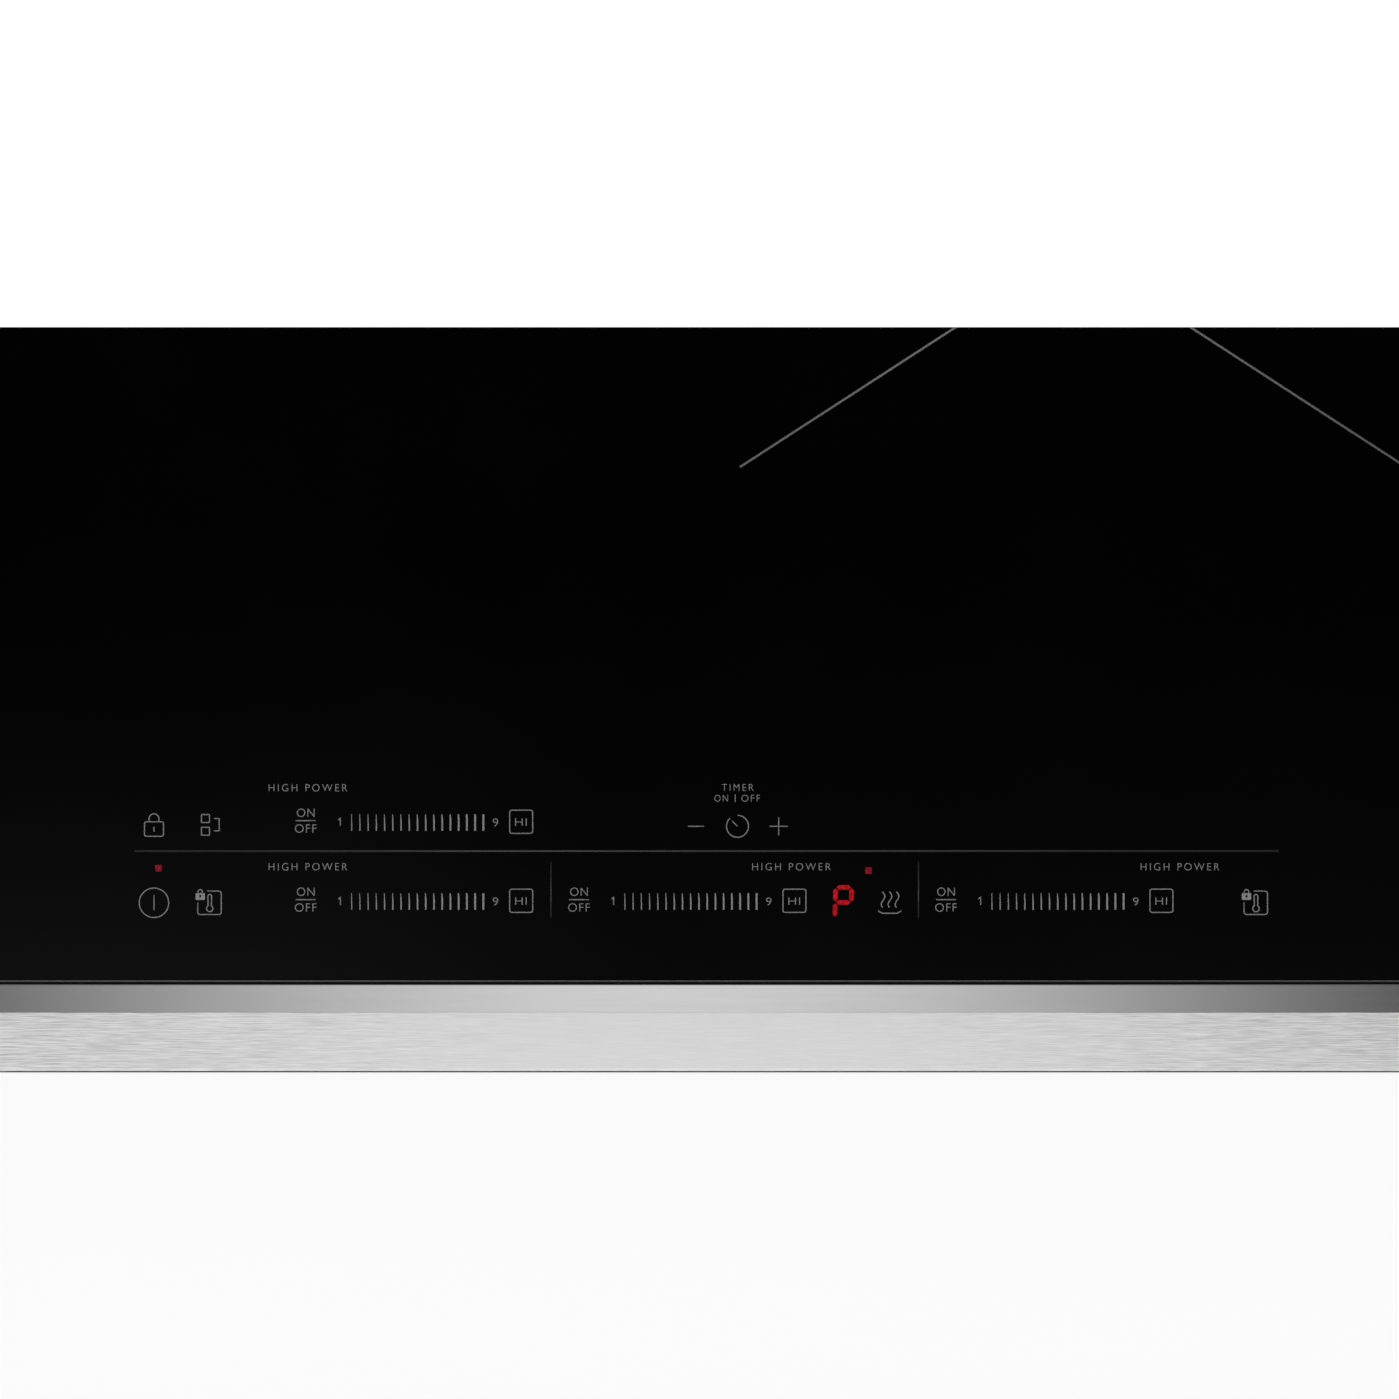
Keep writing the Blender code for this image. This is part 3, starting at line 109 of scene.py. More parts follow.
def pick(*objects):
    """Selects these objects only, and makes the first one active."""
    bpy.ops.object.select_all(action="DESELECT")
    for item in objects:
        item.select_set(True)
    bpy.context.view_layer.objects.active = objects[0]


def block(name, low, high):
    """A box between two corners, to be shaped further."""
    bpy.ops.object.select_all(action="DESELECT")
    low, high = Vector(low), Vector(high)
    bpy.ops.mesh.primitive_cube_add(size=1, location=(low + high) / 2)
    made = bpy.context.object
    made.name = name
    made.scale = high - low
    bpy.ops.object.transform_apply(location=True, rotation=True, scale=True)
    return made


def choose(made, kind, test):
    """In edit mode, selects the points, edges or faces that pass a test."""
    bpy.ops.mesh.select_mode(type=kind)
    bpy.ops.mesh.select_all(action="DESELECT")
    bm = bmesh.from_edit_mesh(made.data)
    for part in {"VERT": bm.verts, "EDGE": bm.edges, "FACE": bm.faces}[kind]:
        if test(part):
            part.select_set(True)
    bmesh.update_edit_mesh(made.data)


def along(edge, axis):
    """Whether an edge runs along an axis, given as 0, 1 or 2."""
    run = edge.verts[1].co - edge.verts[0].co
    return abs(run[axis]) > 0.999 * run.length


def complete(made, *materials, smooth=40, body="cooktop", slot=None):
    """Closes a piece: normals out, smooth shading, its materials and its body. The slot argument is not used."""
    pick(made)
    bpy.ops.object.mode_set(mode="EDIT")
    bpy.ops.mesh.select_all(action="SELECT")
    bpy.ops.mesh.remove_doubles(threshold=0.000001)
    bpy.ops.mesh.normals_make_consistent(inside=False)
    bpy.ops.object.mode_set(mode="OBJECT")
    if smooth:
        bpy.ops.object.shade_smooth_by_angle(angle=math.radians(smooth))
        even = made.modifiers.new("even_shading", "WEIGHTED_NORMAL")
        even.keep_sharp = True
        bpy.ops.object.modifier_apply(modifier=even.name)
    for material in materials:
        made.data.materials.append(material)
    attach(made, body)
    return made


plate = block("glass_plate", (glass_low.x, glass_front, glass_low.z), glass_high)
bpy.ops.object.mode_set(mode="EDIT")
choose(plate, "EDGE", lambda e: along(e, 2) and e.verts[0].co.y > glass_high.y - MM)
bpy.ops.mesh.bevel(offset=GLASS_CORNER, segments=10)
choose(plate, "EDGE", lambda e: all(v.co.z > glass_high.z - GROUND_EDGE / 2 for v in e.verts)
       and len(e.link_faces) == 2 and min(f.normal.z for f in e.link_faces) < 0.5)
bpy.ops.mesh.bevel(offset=GROUND_EDGE, segments=4, profile=0.5)
choose(plate, "EDGE", lambda e: all(v.co.z < glass_low.z + GROUND_EDGE / 2 for v in e.verts)
       and len(e.link_faces) == 2 and max(f.normal.z for f in e.link_faces) > -0.5)
bpy.ops.mesh.bevel(offset=GROUND_EDGE / 3, segments=1)
bpy.ops.object.mode_set(mode="OBJECT")
complete(plate, glass_ceramic, ground_glass, slot="glass_ceramic")
bpy.ops.object.mode_set(mode="EDIT")
plate.active_material_index = 1
choose(plate, "FACE", lambda f: abs(f.normal.z) < 0.98)
bpy.ops.object.material_slot_assign()
bpy.ops.object.mode_set(mode="OBJECT")
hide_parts("glass_top")

# Printed artwork. A grey ceramic print, screened and fired on to the glass. It is only microns thick on
# the real plate, and 0.02 mm proud here. Its places are in mm from the middle and from the front edge.
rail_low, rail_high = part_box("front_rail")
FRONT = rail_low.y
PRINT_RISE = 0.02 * MM
PRINT_DEPTH = 0.06 * MM


def ink(name, code):
    """Fired print of one strength: matt, and a little uneven from the screen's mesh, drawn at 0.25 mm."""
    made, tree, shader, place = new_material(name, Roughness=0.45, IOR=1.5)
    mesh_marks = add_node(tree, "ShaderNodeTexNoise", {"Vector": place, "Scale": 4000.0, "Detail": 1.0})
    level = add_node(tree, "ShaderNodeMapRange", {
        "Value": mesh_marks.outputs["Fac"], "From Min": 0.3, "From Max": 0.7, "To Min": 0.92, "To Max": 1.06})
    strength = add_node(tree, "ShaderNodeVectorMath", {
        0: linear(code)[:3], "Scale": level.outputs["Result"]}, operation="SCALE")
    tree.links.new(strength.outputs["Vector"], shader.inputs["Base Color"])
    return made


ink_strong = ink("print_ceramic_grey", "808080")
ink_zone = ink("print_ceramic_grey_zone", "6a6a6a")
ink_faint = ink("print_ceramic_grey_line", "242424")


def artwork(outlines, closed=True, fill="BOTH"):
    """Flat curves of one print as a mesh. Outlines inside others are holes."""
    bpy.ops.object.select_all(action="DESELECT")
    curve = bpy.data.curves.new("artwork", "CURVE")
    curve.dimensions = "2D"
    curve.fill_mode = fill
    curve.extrude = PRINT_DEPTH / 2
    for outline in outlines:
        spline = curve.splines.new("POLY")
        spline.points.add(len(outline) - 1)
        for point, (x, y) in zip(spline.points, outline):
            point.co = (x * MM, FRONT + y * MM, 0, 1)
        spline.use_cyclic_u = closed
    drawn = bpy.data.objects.new("artwork", curve)
    bpy.context.scene.collection.objects.link(drawn)
    pick(drawn)
    bpy.ops.object.convert(target="MESH")
    return bpy.context.object


def stroked(outlines, width, closed=False):
    """Lines of one width, in mm, along these outlines."""
    drawn = artwork(outlines, closed, "NONE")
    walls = drawn.modifiers.new("stroke", "SOLIDIFY")
    walls.thickness = width * MM
    walls.offset = 0
    walls.use_even_offset = True
    bpy.ops.object.modifier_apply(modifier=walls.name)
    return drawn


def printed(name, material, *drawings):
    """Joins drawings into one print, and lays it on the glass."""
    pick(*drawings)
    if len(drawings) > 1:
        bpy.ops.object.join()
    made = bpy.context.object
    made.name = name
    made.location.z = glass_high.z + PRINT_RISE - PRINT_DEPTH / 2
    bpy.ops.object.transform_apply(location=True, rotation=True, scale=True)
    return complete(made, material, smooth=None, slot="glass_ceramic")


# Zone marks. Each cooking zone, or pair of zones, has one thin printed cross, whose middle is the zone's
# middle. The large right zone has the largest.
ZONE_LINE = 0.85


def zone_cross(name, x, y, half_width, half_height):
    """Two crossed lines, which run at about 33 degrees."""
    rising = [(x - half_width, y - half_height), (x + half_width, y + half_height)]
    falling = [(x - half_width, y + half_height), (x + half_width, y - half_height)]
    return printed(name, ink_zone, stroked([rising], ZONE_LINE), stroked([falling], ZONE_LINE))


zone_cross("zone_mark_right", 146.8, 328.8, 133.2, 86.4)
zone_cross("zone_mark_left", -215.8, 340.0, 58, 37.7)
zone_cross("zone_mark_rear", -39.7, 438.0, 36, 23.4)

# Touch panel. The same print marks the touch keys that lie under the glass: separator lines, captions,
# pictograms, and a slider with bars from low to high for each zone.
ROW_REAR = 100.2
ROW_FRONT = 68.6
LINE = 0.4
PANEL_LEFT = -228.6
PANEL_RIGHT = 229.2
SEPARATOR_Y = 88.8
GROUP_EDGES = (-62.0, 85.0)

printed("separator_lines", ink_faint,
        stroked([[(PANEL_LEFT, SEPARATOR_Y), (PANEL_RIGHT, SEPARATOR_Y)]], 0.8),
        stroked([[(x, 62.2), (x, 84.4)] for x in GROUP_EDGES], 0.5))

SLIDER_TICKS = 17
TICK_PITCH = 3.28
TICK_HEIGHT = 6.6
TICK_THIN = 0.22
ROUND_STEPS = 24


def filled(*outlines):
    """Solid shapes with these outlines."""
    return artwork(outlines)


def arc(x, y, radius, start, end, steps=ROUND_STEPS):
    """Points on an arc, in degrees anticlockwise from +X."""
    turns = [math.radians(start + (end - start) * i / steps) for i in range(steps + 1)]
    return [(x + radius * math.cos(t), y + radius * math.sin(t)) for t in turns]


def round_box(x, y, width, height, radius):
    """Outline of a box with round corners about its middle."""
    dx, dy = width / 2 - radius, height / 2 - radius
    points = []
    for sx, sy, start in ((1, 1, 0), (-1, 1, 90), (-1, -1, 180), (1, -1, 270)):
        points.extend(arc(x + sx * dx, y + sy * dy, radius, start, start + 90, 5))
    return points


def lettering(text, x, y, width, height, spacing=1.1):
    """Light capitals that fill a box about a point, in mm."""
    bpy.ops.object.select_all(action="DESELECT")
    bpy.ops.object.text_add()
    drawn = bpy.context.object
    drawn.data.body = text
    drawn.data.space_character = spacing
    drawn.data.offset = -0.017
    drawn.data.extrude = 0.5
    bpy.ops.object.convert(target="MESH")
    drawn = bpy.context.object
    points = [v.co for v in drawn.data.vertices]
    low, high = min(c.x for c in points), max(c.x for c in points)
    bottom, top = min(c.y for c in points), max(c.y for c in points)
    grow = Vector((width * MM / (high - low), height * MM / (top - bottom), PRINT_DEPTH))
    drawn.scale = grow
    drawn.location = (x * MM - grow.x * (low + high) / 2, FRONT + y * MM - grow.y * (bottom + top) / 2, 0)
    bpy.ops.object.transform_apply(location=True, rotation=True, scale=True)
    return drawn


def slider(name, x, y):
    """On and off key, level bars from 1 to 9, and the key for the highest level, from its left bar's place."""
    bars = []
    for i in range(SLIDER_TICKS):
        share = i / (SLIDER_TICKS - 1)
        left = x + i * TICK_PITCH
        wide = 0.38 + 0.34 * share
        low, high = y - TICK_HEIGHT / 2, y + TICK_HEIGHT / 2
        shoulder = low + TICK_HEIGHT * (0.25 + 0.6 * share)
        bars.append([(left, low), (left + wide, low), (left + wide, shoulder),
                     (left + TICK_THIN + (wide - TICK_THIN) * share ** 3, high), (left, high)])
    on_x = x - 18.2
    last = x + (SLIDER_TICKS - 1) * TICK_PITCH
    printed(
        name, ink_strong, filled(*bars),
        lettering("ON", on_x, y + 3.9, 7.0, 3.3), lettering("OFF", on_x, y - 2.4, 8.6, 3.3),
        stroked([[(on_x - 4, y + 0.75), (on_x + 4, y + 0.75)]], 0.42),
        stroked([[(x - 5.2, y + 1.0), (x - 4.35, y + 1.7), (x - 4.35, y - 1.4)]], 0.38),
        lettering("9", last + 5.2, y, 2.1, 3.2),
        stroked([round_box(last + 15.5, y + 0.3, 9.2, 9.3, 0.9)], LINE, closed=True),
        lettering("HI", last + 15.4, y + 0.2, 4.6, 2.9),
    )


CAPTION = "HIGH POWER"
slider("slider_rear_left", -141.9, ROW_REAR)
slider("slider_front_left", -141.9, ROW_FRONT)
slider("slider_rear_centre", -32.6, ROW_FRONT)
slider("slider_right", 114.2, ROW_FRONT)
printed("captions", ink_strong,
        *[lettering(CAPTION, x, y, 31.4, 2.9, 1.35) for x, y in (
            (-159.2, 114.1), (-159.2, 82.5), (34.2, 82.5), (189.6, 82.5))],
        lettering("TIMER", 12.7, 114.2, 12.6, 2.7, 1.35), lettering("ON", 6.1, 109.9, 5.4, 2.7, 1.25),
        lettering("OFF", 17.9, 109.9, 7.4, 2.7, 1.25), stroked([[(11.7, 108.4), (11.7, 111.5)]], 0.36))

# Key lock: a padlock with its keyhole, printed with the rest.
LOCK_X = -220.8
printed("key_lock_symbol", ink_strong,
        stroked([round_box(LOCK_X, ROW_REAR - 2.6, 7.6, 5.8, 0.7)], LINE, closed=True),
        stroked([[(LOCK_X - 2.0, ROW_REAR + 0.3), *arc(LOCK_X, ROW_REAR + 1.5, 2.0, 180, 0, 12),
                  (LOCK_X + 2.0, ROW_REAR + 0.3)]], LINE),
        stroked([[(LOCK_X, ROW_REAR - 3.7), (LOCK_X, ROW_REAR - 1.7)]], 0.42))

# Bridge key: two zones joined by a bracket, printed as outlines.
BRIDGE_X = -200.2
printed("bridge_symbol", ink_strong,
        stroked([round_box(BRIDGE_X, ROW_REAR + 1.6, 3.2, 3.2, 0.2),
                 round_box(BRIDGE_X, ROW_REAR - 3.5, 3.2, 3.2, 0.2)], LINE, closed=True),
        stroked([[(BRIDGE_X + 3.4, ROW_REAR + 1.6), (BRIDGE_X + 5.5, ROW_REAR + 1.6),
                  (BRIDGE_X + 5.5, ROW_REAR - 3.3), (BRIDGE_X + 3.4, ROW_REAR - 3.3)]], LINE))

# Power key: a ring round an upright bar.
POWER_X = -220.8
printed("power_symbol", ink_strong,
        stroked([arc(POWER_X, ROW_FRONT - 0.5, 5.9, 0, 360, 48)[:-1]], LINE, closed=True),
        stroked([[(POWER_X, ROW_FRONT - 3.5), (POWER_X, ROW_FRONT + 2.6)]], LINE))


def melt_lock(name, x, y):
    """Key that holds the zone's temperature: a thermometer in a box, with a small padlock at its corner."""
    half = 4.7
    gap_x, gap_y = x - half + 3.8, y + half - 4.5
    box_line = [(gap_x, y + half), *arc(x + half - 1, y + half - 1, 1, 90, 0, 4),
                *arc(x + half - 1, y - half + 1, 1, 0, -90, 4),
                *arc(x - half + 1, y - half + 1, 1, 270, 180, 4), (x - half, gap_y)]
    lock_x, lock_y = x - 3.7, y + 2.9
    stem_x = x + 0.1
    bulb = arc(stem_x, y - 2.3, 1.3, 120, 420, 14)
    tube = arc(stem_x, y + 2.6, 0.75, 0, 180, 6)
    printed(name, ink_strong, stroked([box_line], LINE),
            stroked([bulb + tube], 0.42, closed=True),
            filled(round_box(lock_x, lock_y - 0.4, 3.7, 2.7, 0.3), round_box(lock_x, lock_y - 0.3, 0.8, 1.0, 0.1)),
            stroked([[(lock_x - 0.9, lock_y + 0.8), *arc(lock_x, lock_y + 1.5, 0.9, 180, 0, 8),
                      (lock_x + 0.9, lock_y + 0.8)]], 0.42))


melt_lock("temperature_lock_symbol_left", -198.6, ROW_FRONT - 0.5)
melt_lock("temperature_lock_symbol_right", 219.9, ROW_FRONT - 0.5)

# Timer keys: less, a dial with its pointer, and more.
DIAL_X = 12.6
TIMER_Y = ROW_REAR - 1.5
printed("timer_symbols", ink_strong,
        stroked([[(-7.2, TIMER_Y), (-0.8, TIMER_Y)]], LINE),
        stroked([arc(DIAL_X, TIMER_Y, 4.4, 90, -228, 40)], LINE),
        stroked([[(DIAL_X - 2.2, TIMER_Y + 2.2), (DIAL_X, TIMER_Y)]], LINE),
        stroked([[(25.4, TIMER_Y), (32.8, TIMER_Y)]], LINE),
        stroked([[(29.1, TIMER_Y - 3.7), (29.1, TIMER_Y - LINE / 2)],
                 [(29.1, TIMER_Y + LINE / 2), (29.1, TIMER_Y + 3.7)]], LINE))

# Keep-warm key: three waves of steam over a dish.
WARM_X = 73.5
waves = [[(WARM_X + shift + 0.75 * math.sin(math.tau * (i / 12 - 0.05)),
           ROW_FRONT + 4.0 - i * 6.4 / 12) for i in range(13)] for shift in (-2.7, 0.1, 2.9)]
printed("keep_warm_symbol", ink_strong, stroked(waves, 0.42),
        stroked([[(WARM_X - 4.7, ROW_FRONT - 3.7), (WARM_X - 3.0, ROW_FRONT - 4.7),
                  (WARM_X + 3.0, ROW_FRONT - 4.7), (WARM_X + 4.7, ROW_FRONT - 3.7)]], 0.45))

# Lit displays. Red diodes under the glass, which shine through it: one digit and two status lamps.
# The glass is drawn opaque, so their light is drawn as thin lit shapes on its face.
DIGIT_X, DIGIT_Y = 54.9, 68.2
DIGIT_WIDTH, DIGIT_HEIGHT = 8.2, 13.9
SEGMENT = 1.8
SLANT = 0.03


def lamp_material(name, code, strength):
    """Red light of a diode under polished glass, with blotches of 0.8 mm from its diffuser."""
    made, tree, shader, place = new_material(
        name, Base_Color=linear("0c0102"), Roughness=0.06, Emission_Color=linear(code))
    blotch = add_node(tree, "ShaderNodeTexNoise", {"Vector": place, "Scale": 1300.0, "Detail": 1.0})
    level = add_node(tree, "ShaderNodeMapRange", {
        "Value": blotch.outputs["Fac"], "From Min": 0.35, "From Max": 0.65, "To Min": 0.5 * strength,
        "To Max": 1.15 * strength})
    tree.links.new(level.outputs["Result"], shader.inputs["Emission Strength"])
    return made


red_digit = lamp_material("red_diode_digit", "b8141f", 1.0)
red_lamp = lamp_material("red_diode_lamp", "861a26", 1.0)


def segment(x, y, length, upright):
    """One bar of a digit with pointed ends, slanted with the rest."""
    half, wide = length / 2, SEGMENT / 2
    points = [(-half, 0), (-half + wide, -wide), (half - wide, -wide), (half, 0), (half - wide, wide),
              (-half + wide, wide)]
    if upright:
        points = [(b, a) for a, b in points]
    return [(DIGIT_X + x + a + SLANT * (y + b), DIGIT_Y + y + b) for a, b in points]


side_x = (DIGIT_WIDTH - SEGMENT) / 2
side_y = (DIGIT_HEIGHT - SEGMENT) / 4
across = DIGIT_WIDTH - SEGMENT - 0.7
down = DIGIT_HEIGHT / 2 - SEGMENT / 2 - 0.7
letter_p = [segment(0, 2 * side_y, across, False), segment(-side_x, side_y, down, True),
            segment(side_x, side_y, down, True), segment(0, 0, across, False),
            segment(-side_x, -side_y, down, True)]
printed("digit_rear_centre_lit", red_digit, filled(*letter_p))
printed("status_lamps_lit", red_lamp, filled(round_box(-219.0, 81.9, 2.6, 2.6, 0.4)),
        filled(round_box(65.0, 81.0, 2.6, 2.6, 0.4)))

# Front rail. Stainless steel folded to shape: a brushed flat, a polished bevel that falls towards the
# glass, a round front edge, and a foot that reaches under the glass.
RAIL_FLAT = 24.2 * MM
RAIL_NOSE = 1.6 * MM
RAIL_DROP = 2.3 * MM
RAIL_SHEET = 1.2 * MM
RAIL_LIP = 10 * MM
RAIL_FOOT = 14.5 * MM
RAIL_GAP = 1.2 * MM
RAIL_INNER_ROUND = 0.7 * MM
FACE_GAP = 0.3 * MM
EDGE_ROUND = 0.35 * MM
BREAK_ROUND = 0.1 * MM

# Brushed stainless: fine scratches that run along the rail, so highlights spread across it. Real ones are
# about 0.05 mm apart, and these are drawn 0.2 to 0.3 mm apart, so that they show. The scratches' tone and
# roughness are painted fainter towards the middle. This is a painted highlight that stands in for the bright
# reflection which washes them out there, and the steel itself is the same all along.
brushed_steel, tree, shader, place = new_material("stainless_steel_brushed", Metallic=1.0, Anisotropic=0.75)
long_strokes = add_node(tree, "ShaderNodeMapping", {"Vector": place, "Scale": (48, 3200, 3200)}).outputs["Vector"]
streaks = add_node(tree, "ShaderNodeTexNoise", {"Vector": long_strokes, "Scale": 1.0, "Detail": 4.0})
short_strokes = add_node(tree, "ShaderNodeMapping", {"Vector": place, "Scale": (120, 6000, 6000)}).outputs["Vector"]
hairs = add_node(tree, "ShaderNodeTexNoise", {"Vector": short_strokes, "Scale": 1.0, "Detail": 2.0})
both = add_node(tree, "ShaderNodeMath", {0: streaks.outputs["Fac"], 1: hairs.outputs["Fac"]}, operation="ADD")
centred = add_node(tree, "ShaderNodeMath", {0: both.outputs[0], 1: 1.0}, operation="SUBTRACT")
along_rail = add_node(tree, "ShaderNodeSeparateXYZ", {"Vector": place})
from_middle = add_node(tree, "ShaderNodeMath", {0: along_rail.outputs["X"]}, operation="ABSOLUTE")
# Painted highlight: the streaks' contrast in colour and roughness is cut towards the middle of the rail, where the
# bright reflection washes them out.
highlight_washout = add_node(tree, "ShaderNodeMapRange", {
    "Value": from_middle.outputs[0], "From Min": 70 * MM, "From Max": 260 * MM, "To Min": 0.12, "To Max": 0.9})
shown = add_node(tree, "ShaderNodeMath", {0: centred.outputs[0], 1: highlight_washout.outputs["Result"]}, operation="MULTIPLY")
tone = add_node(tree, "ShaderNodeMapRange", {"Value": shown.outputs[0], "From Min": -0.15, "From Max": 0.15})
colour = add_node(tree, "ShaderNodeMix", {
    0: tone.outputs["Result"], 6: linear("b1b1b1"), 7: linear("e5e5e5")}, data_type="RGBA")
tree.links.new(colour.outputs[2], shader.inputs["Base Color"])
depth = add_node(tree, "ShaderNodeMapRange", {"Value": tone.outputs["Result"], "To Min": 0.30, "To Max": 0.42})
tree.links.new(depth.outputs["Result"], shader.inputs["Roughness"])
grooves = add_node(tree, "ShaderNodeBump", {"Height": both.outputs[0], "Strength": 0.25, "Distance": 0.05 * MM})
tree.links.new(grooves.outputs["Normal"], shader.inputs["Normal"])
tangent = add_node(tree, "ShaderNodeTangent", direction_type="RADIAL", axis="X")
tree.links.new(tangent.outputs["Tangent"], shader.inputs["Tangent"])

# Polished stainless of the bevel and the front edge: nearly a mirror, with soft marks about 2.5 mm wide
# from buffing along the rail.
polished_steel, tree, shader, place = new_material(
    "stainless_steel_polished", Base_Color=linear("d0d0d0"), Metallic=1.0)
strokes = add_node(tree, "ShaderNodeMapping", {"Vector": place, "Scale": (20, 400, 400)}).outputs["Vector"]
buffing = add_node(tree, "ShaderNodeTexNoise", {"Vector": strokes, "Scale": 1.0, "Detail": 2.0})
gloss = add_node(tree, "ShaderNodeMapRange", {"Value": buffing.outputs["Fac"], "To Min": 0.09, "To Max": 0.15})
tree.links.new(gloss.outputs["Result"], shader.inputs["Roughness"])

rail_inner = glass_low.y - RAIL_GAP
rail_top = rail_high.z


def shape_rail(made):
    """Cuts the flat from the bevel, lets the bevel fall, and rounds the edges along the rail."""
    bpy.ops.object.mode_set(mode="EDIT")
    bpy.ops.mesh.select_all(action="SELECT")
    bpy.ops.mesh.bisect(plane_co=(0, FRONT + RAIL_FLAT, 0), plane_no=(0, 1, 0))
    choose(made, "VERT", lambda v: v.co.y > rail_inner - EDGE_ROUND and v.co.z > rail_top - EDGE_ROUND)
    bpy.ops.transform.translate(value=(0, 0, -RAIL_DROP))
    choose(made, "EDGE", lambda e: along(e, 0) and all(
        v.co.y < FRONT + EDGE_ROUND and v.co.z > rail_top - EDGE_ROUND for v in e.verts))
    bpy.ops.mesh.bevel(offset=RAIL_NOSE, segments=8)
    choose(made, "EDGE", lambda e: along(e, 0) and all(
        v.co.y > rail_inner - EDGE_ROUND and v.co.z > glass_low.z + EDGE_ROUND for v in e.verts))
    bpy.ops.mesh.bevel(offset=RAIL_INNER_ROUND, segments=5)
    choose(made, "EDGE", lambda e: along(e, 0) and all(
        abs(v.co.y - FRONT - RAIL_FLAT) < EDGE_ROUND and v.co.z > rail_top - EDGE_ROUND for v in e.verts))
    bpy.ops.mesh.bevel(offset=BREAK_ROUND, segments=1)
    bpy.ops.object.mode_set(mode="OBJECT")


def polish_bevel(made):
    """Gives the second material to the bevel that leans towards the glass, and to the round front edge."""
    pick(made)
    bpy.ops.object.mode_set(mode="EDIT")
    made.active_material_index = 1
    choose(made, "FACE", lambda f: (f.normal.y > 0.12 or (f.normal.y < -0.3 and f.normal.z > 0.1))
           and f.calc_center_median().z > glass_low.z)
    bpy.ops.object.material_slot_assign()
    bpy.ops.object.mode_set(mode="OBJECT")


rail = block("rail_folded", (rail_low.x, FRONT, glass_low.z), (rail_high.x, rail_inner, rail_top))
shape_rail(rail)
bpy.ops.object.mode_set(mode="EDIT")
choose(rail, "FACE", lambda f: f.normal.z < -0.9 or abs(f.normal.x) > 0.9)
bpy.ops.mesh.delete(type="FACE")
choose(rail, "EDGE", lambda e: along(e, 0) and all(
    v.co.z < glass_low.z + EDGE_ROUND and v.co.y < FRONT + EDGE_ROUND for v in e.verts))
bpy.ops.mesh.extrude_region_move(TRANSFORM_OT_translate={"value": (0, RAIL_LIP, 0)})
choose(rail, "EDGE", lambda e: along(e, 0) and all(
    v.co.z < glass_low.z + EDGE_ROUND and v.co.y > rail_inner - EDGE_ROUND for v in e.verts))
bpy.ops.transform.translate(value=(0, 0, -FACE_GAP))
bpy.ops.mesh.extrude_region_move(TRANSFORM_OT_translate={"value": (0, RAIL_FOOT, 0)})
bpy.ops.object.mode_set(mode="OBJECT")
sheet = rail.modifiers.new("sheet", "SOLIDIFY")
sheet.thickness = RAIL_SHEET
sheet.offset = -1
sheet.use_even_offset = True
bpy.ops.object.modifier_apply(modifier=sheet.name)
seal_low, seal_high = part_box("seal_gasket")


def cut_away(made, *tools):
    """Cuts helper shapes out of a piece, and removes them."""
    for tool in tools:
        cut = made.modifiers.new("cut", "BOOLEAN")
        cut.object = tool
        cut.solver = "EXACT"
        pick(made)
        bpy.ops.object.modifier_apply(modifier=cut.name)
        bpy.data.objects.remove(tool)


SEAL_STRIP = 10 * MM
cut_away(rail, *[
    block("foot_relief", (min(near, far), rail_inner - RAIL_SHEET, seal_low.z),
          (max(near, far), rail_inner + 2 * RAIL_FOOT, glass_low.z - FACE_GAP / 2))
    for near, far in ((rail_low.x, seal_low.x + SEAL_STRIP + FACE_GAP),
                      (seal_high.x - SEAL_STRIP - FACE_GAP, rail_high.x))])
complete(rail, brushed_steel, polished_steel, slot="stainless")
polish_bevel(rail)
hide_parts("front_rail")

# End caps. Solid stainless plates of the rail's own section, one at each end. They are welded in, ground
# flush with the rail and brushed and polished with it.
for side in ("left", "right"):
    cap_low, cap_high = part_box(f"rail_end_cap_{side}")
    cap = block(f"rail_cap_{side}", (cap_low.x, FRONT, glass_low.z), (cap_high.x, rail_inner, rail_top))
    shape_rail(cap)
    complete(cap, brushed_steel, polished_steel, slot="stainless")
    polish_bevel(cap)
    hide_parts(f"rail_end_cap_{side}")

# Joint between rail and glass. A bead of black silicone, laid in the gap after the glass is in place, and
# drawn hollow with a tool so that it stays below both edges.
JOINT_BELOW = 1.4 * MM
# Black silicone: deep black and half matt, with the ripples that the tool leaves every few millimetres.
silicone, tree, shader, place = new_material("silicone_black_tooled", Base_Color=linear("08080a"), IOR=1.41)
drawn = add_node(tree, "ShaderNodeMapping", {"Vector": place, "Scale": (150, 600, 600)}).outputs["Vector"]
ripple = add_node(tree, "ShaderNodeTexNoise", {"Vector": drawn, "Scale": 1.0, "Detail": 2.0}).outputs["Fac"]
sheen = add_node(tree, "ShaderNodeMapRange", {"Value": ripple, "To Min": 0.42, "To Max": 0.6})
tree.links.new(sheen.outputs["Result"], shader.inputs["Roughness"])
waves = add_node(tree, "ShaderNodeBump", {"Height": ripple, "Strength": 0.3, "Distance": 0.2 * MM})
tree.links.new(waves.outputs["Normal"], shader.inputs["Normal"])
joint = block("rail_joint_bead", (rail_low.x, rail_inner, glass_low.z - FACE_GAP / 2),
              (rail_high.x, glass_front, glass_high.z - JOINT_BELOW))
bpy.ops.object.mode_set(mode="EDIT")
bpy.ops.mesh.select_all(action="SELECT")
joint_y = (rail_inner + glass_front) / 2
bpy.ops.mesh.bisect(plane_co=(0, joint_y, 0), plane_no=(0, 1, 0))
choose(joint, "VERT", lambda v: abs(v.co.y - joint_y) < FACE_GAP / 2 and v.co.z > glass_low.z)
bpy.ops.transform.translate(value=(0, 0, -FACE_GAP))
bpy.ops.object.mode_set(mode="OBJECT")
complete(joint, silicone, slot="silicone")


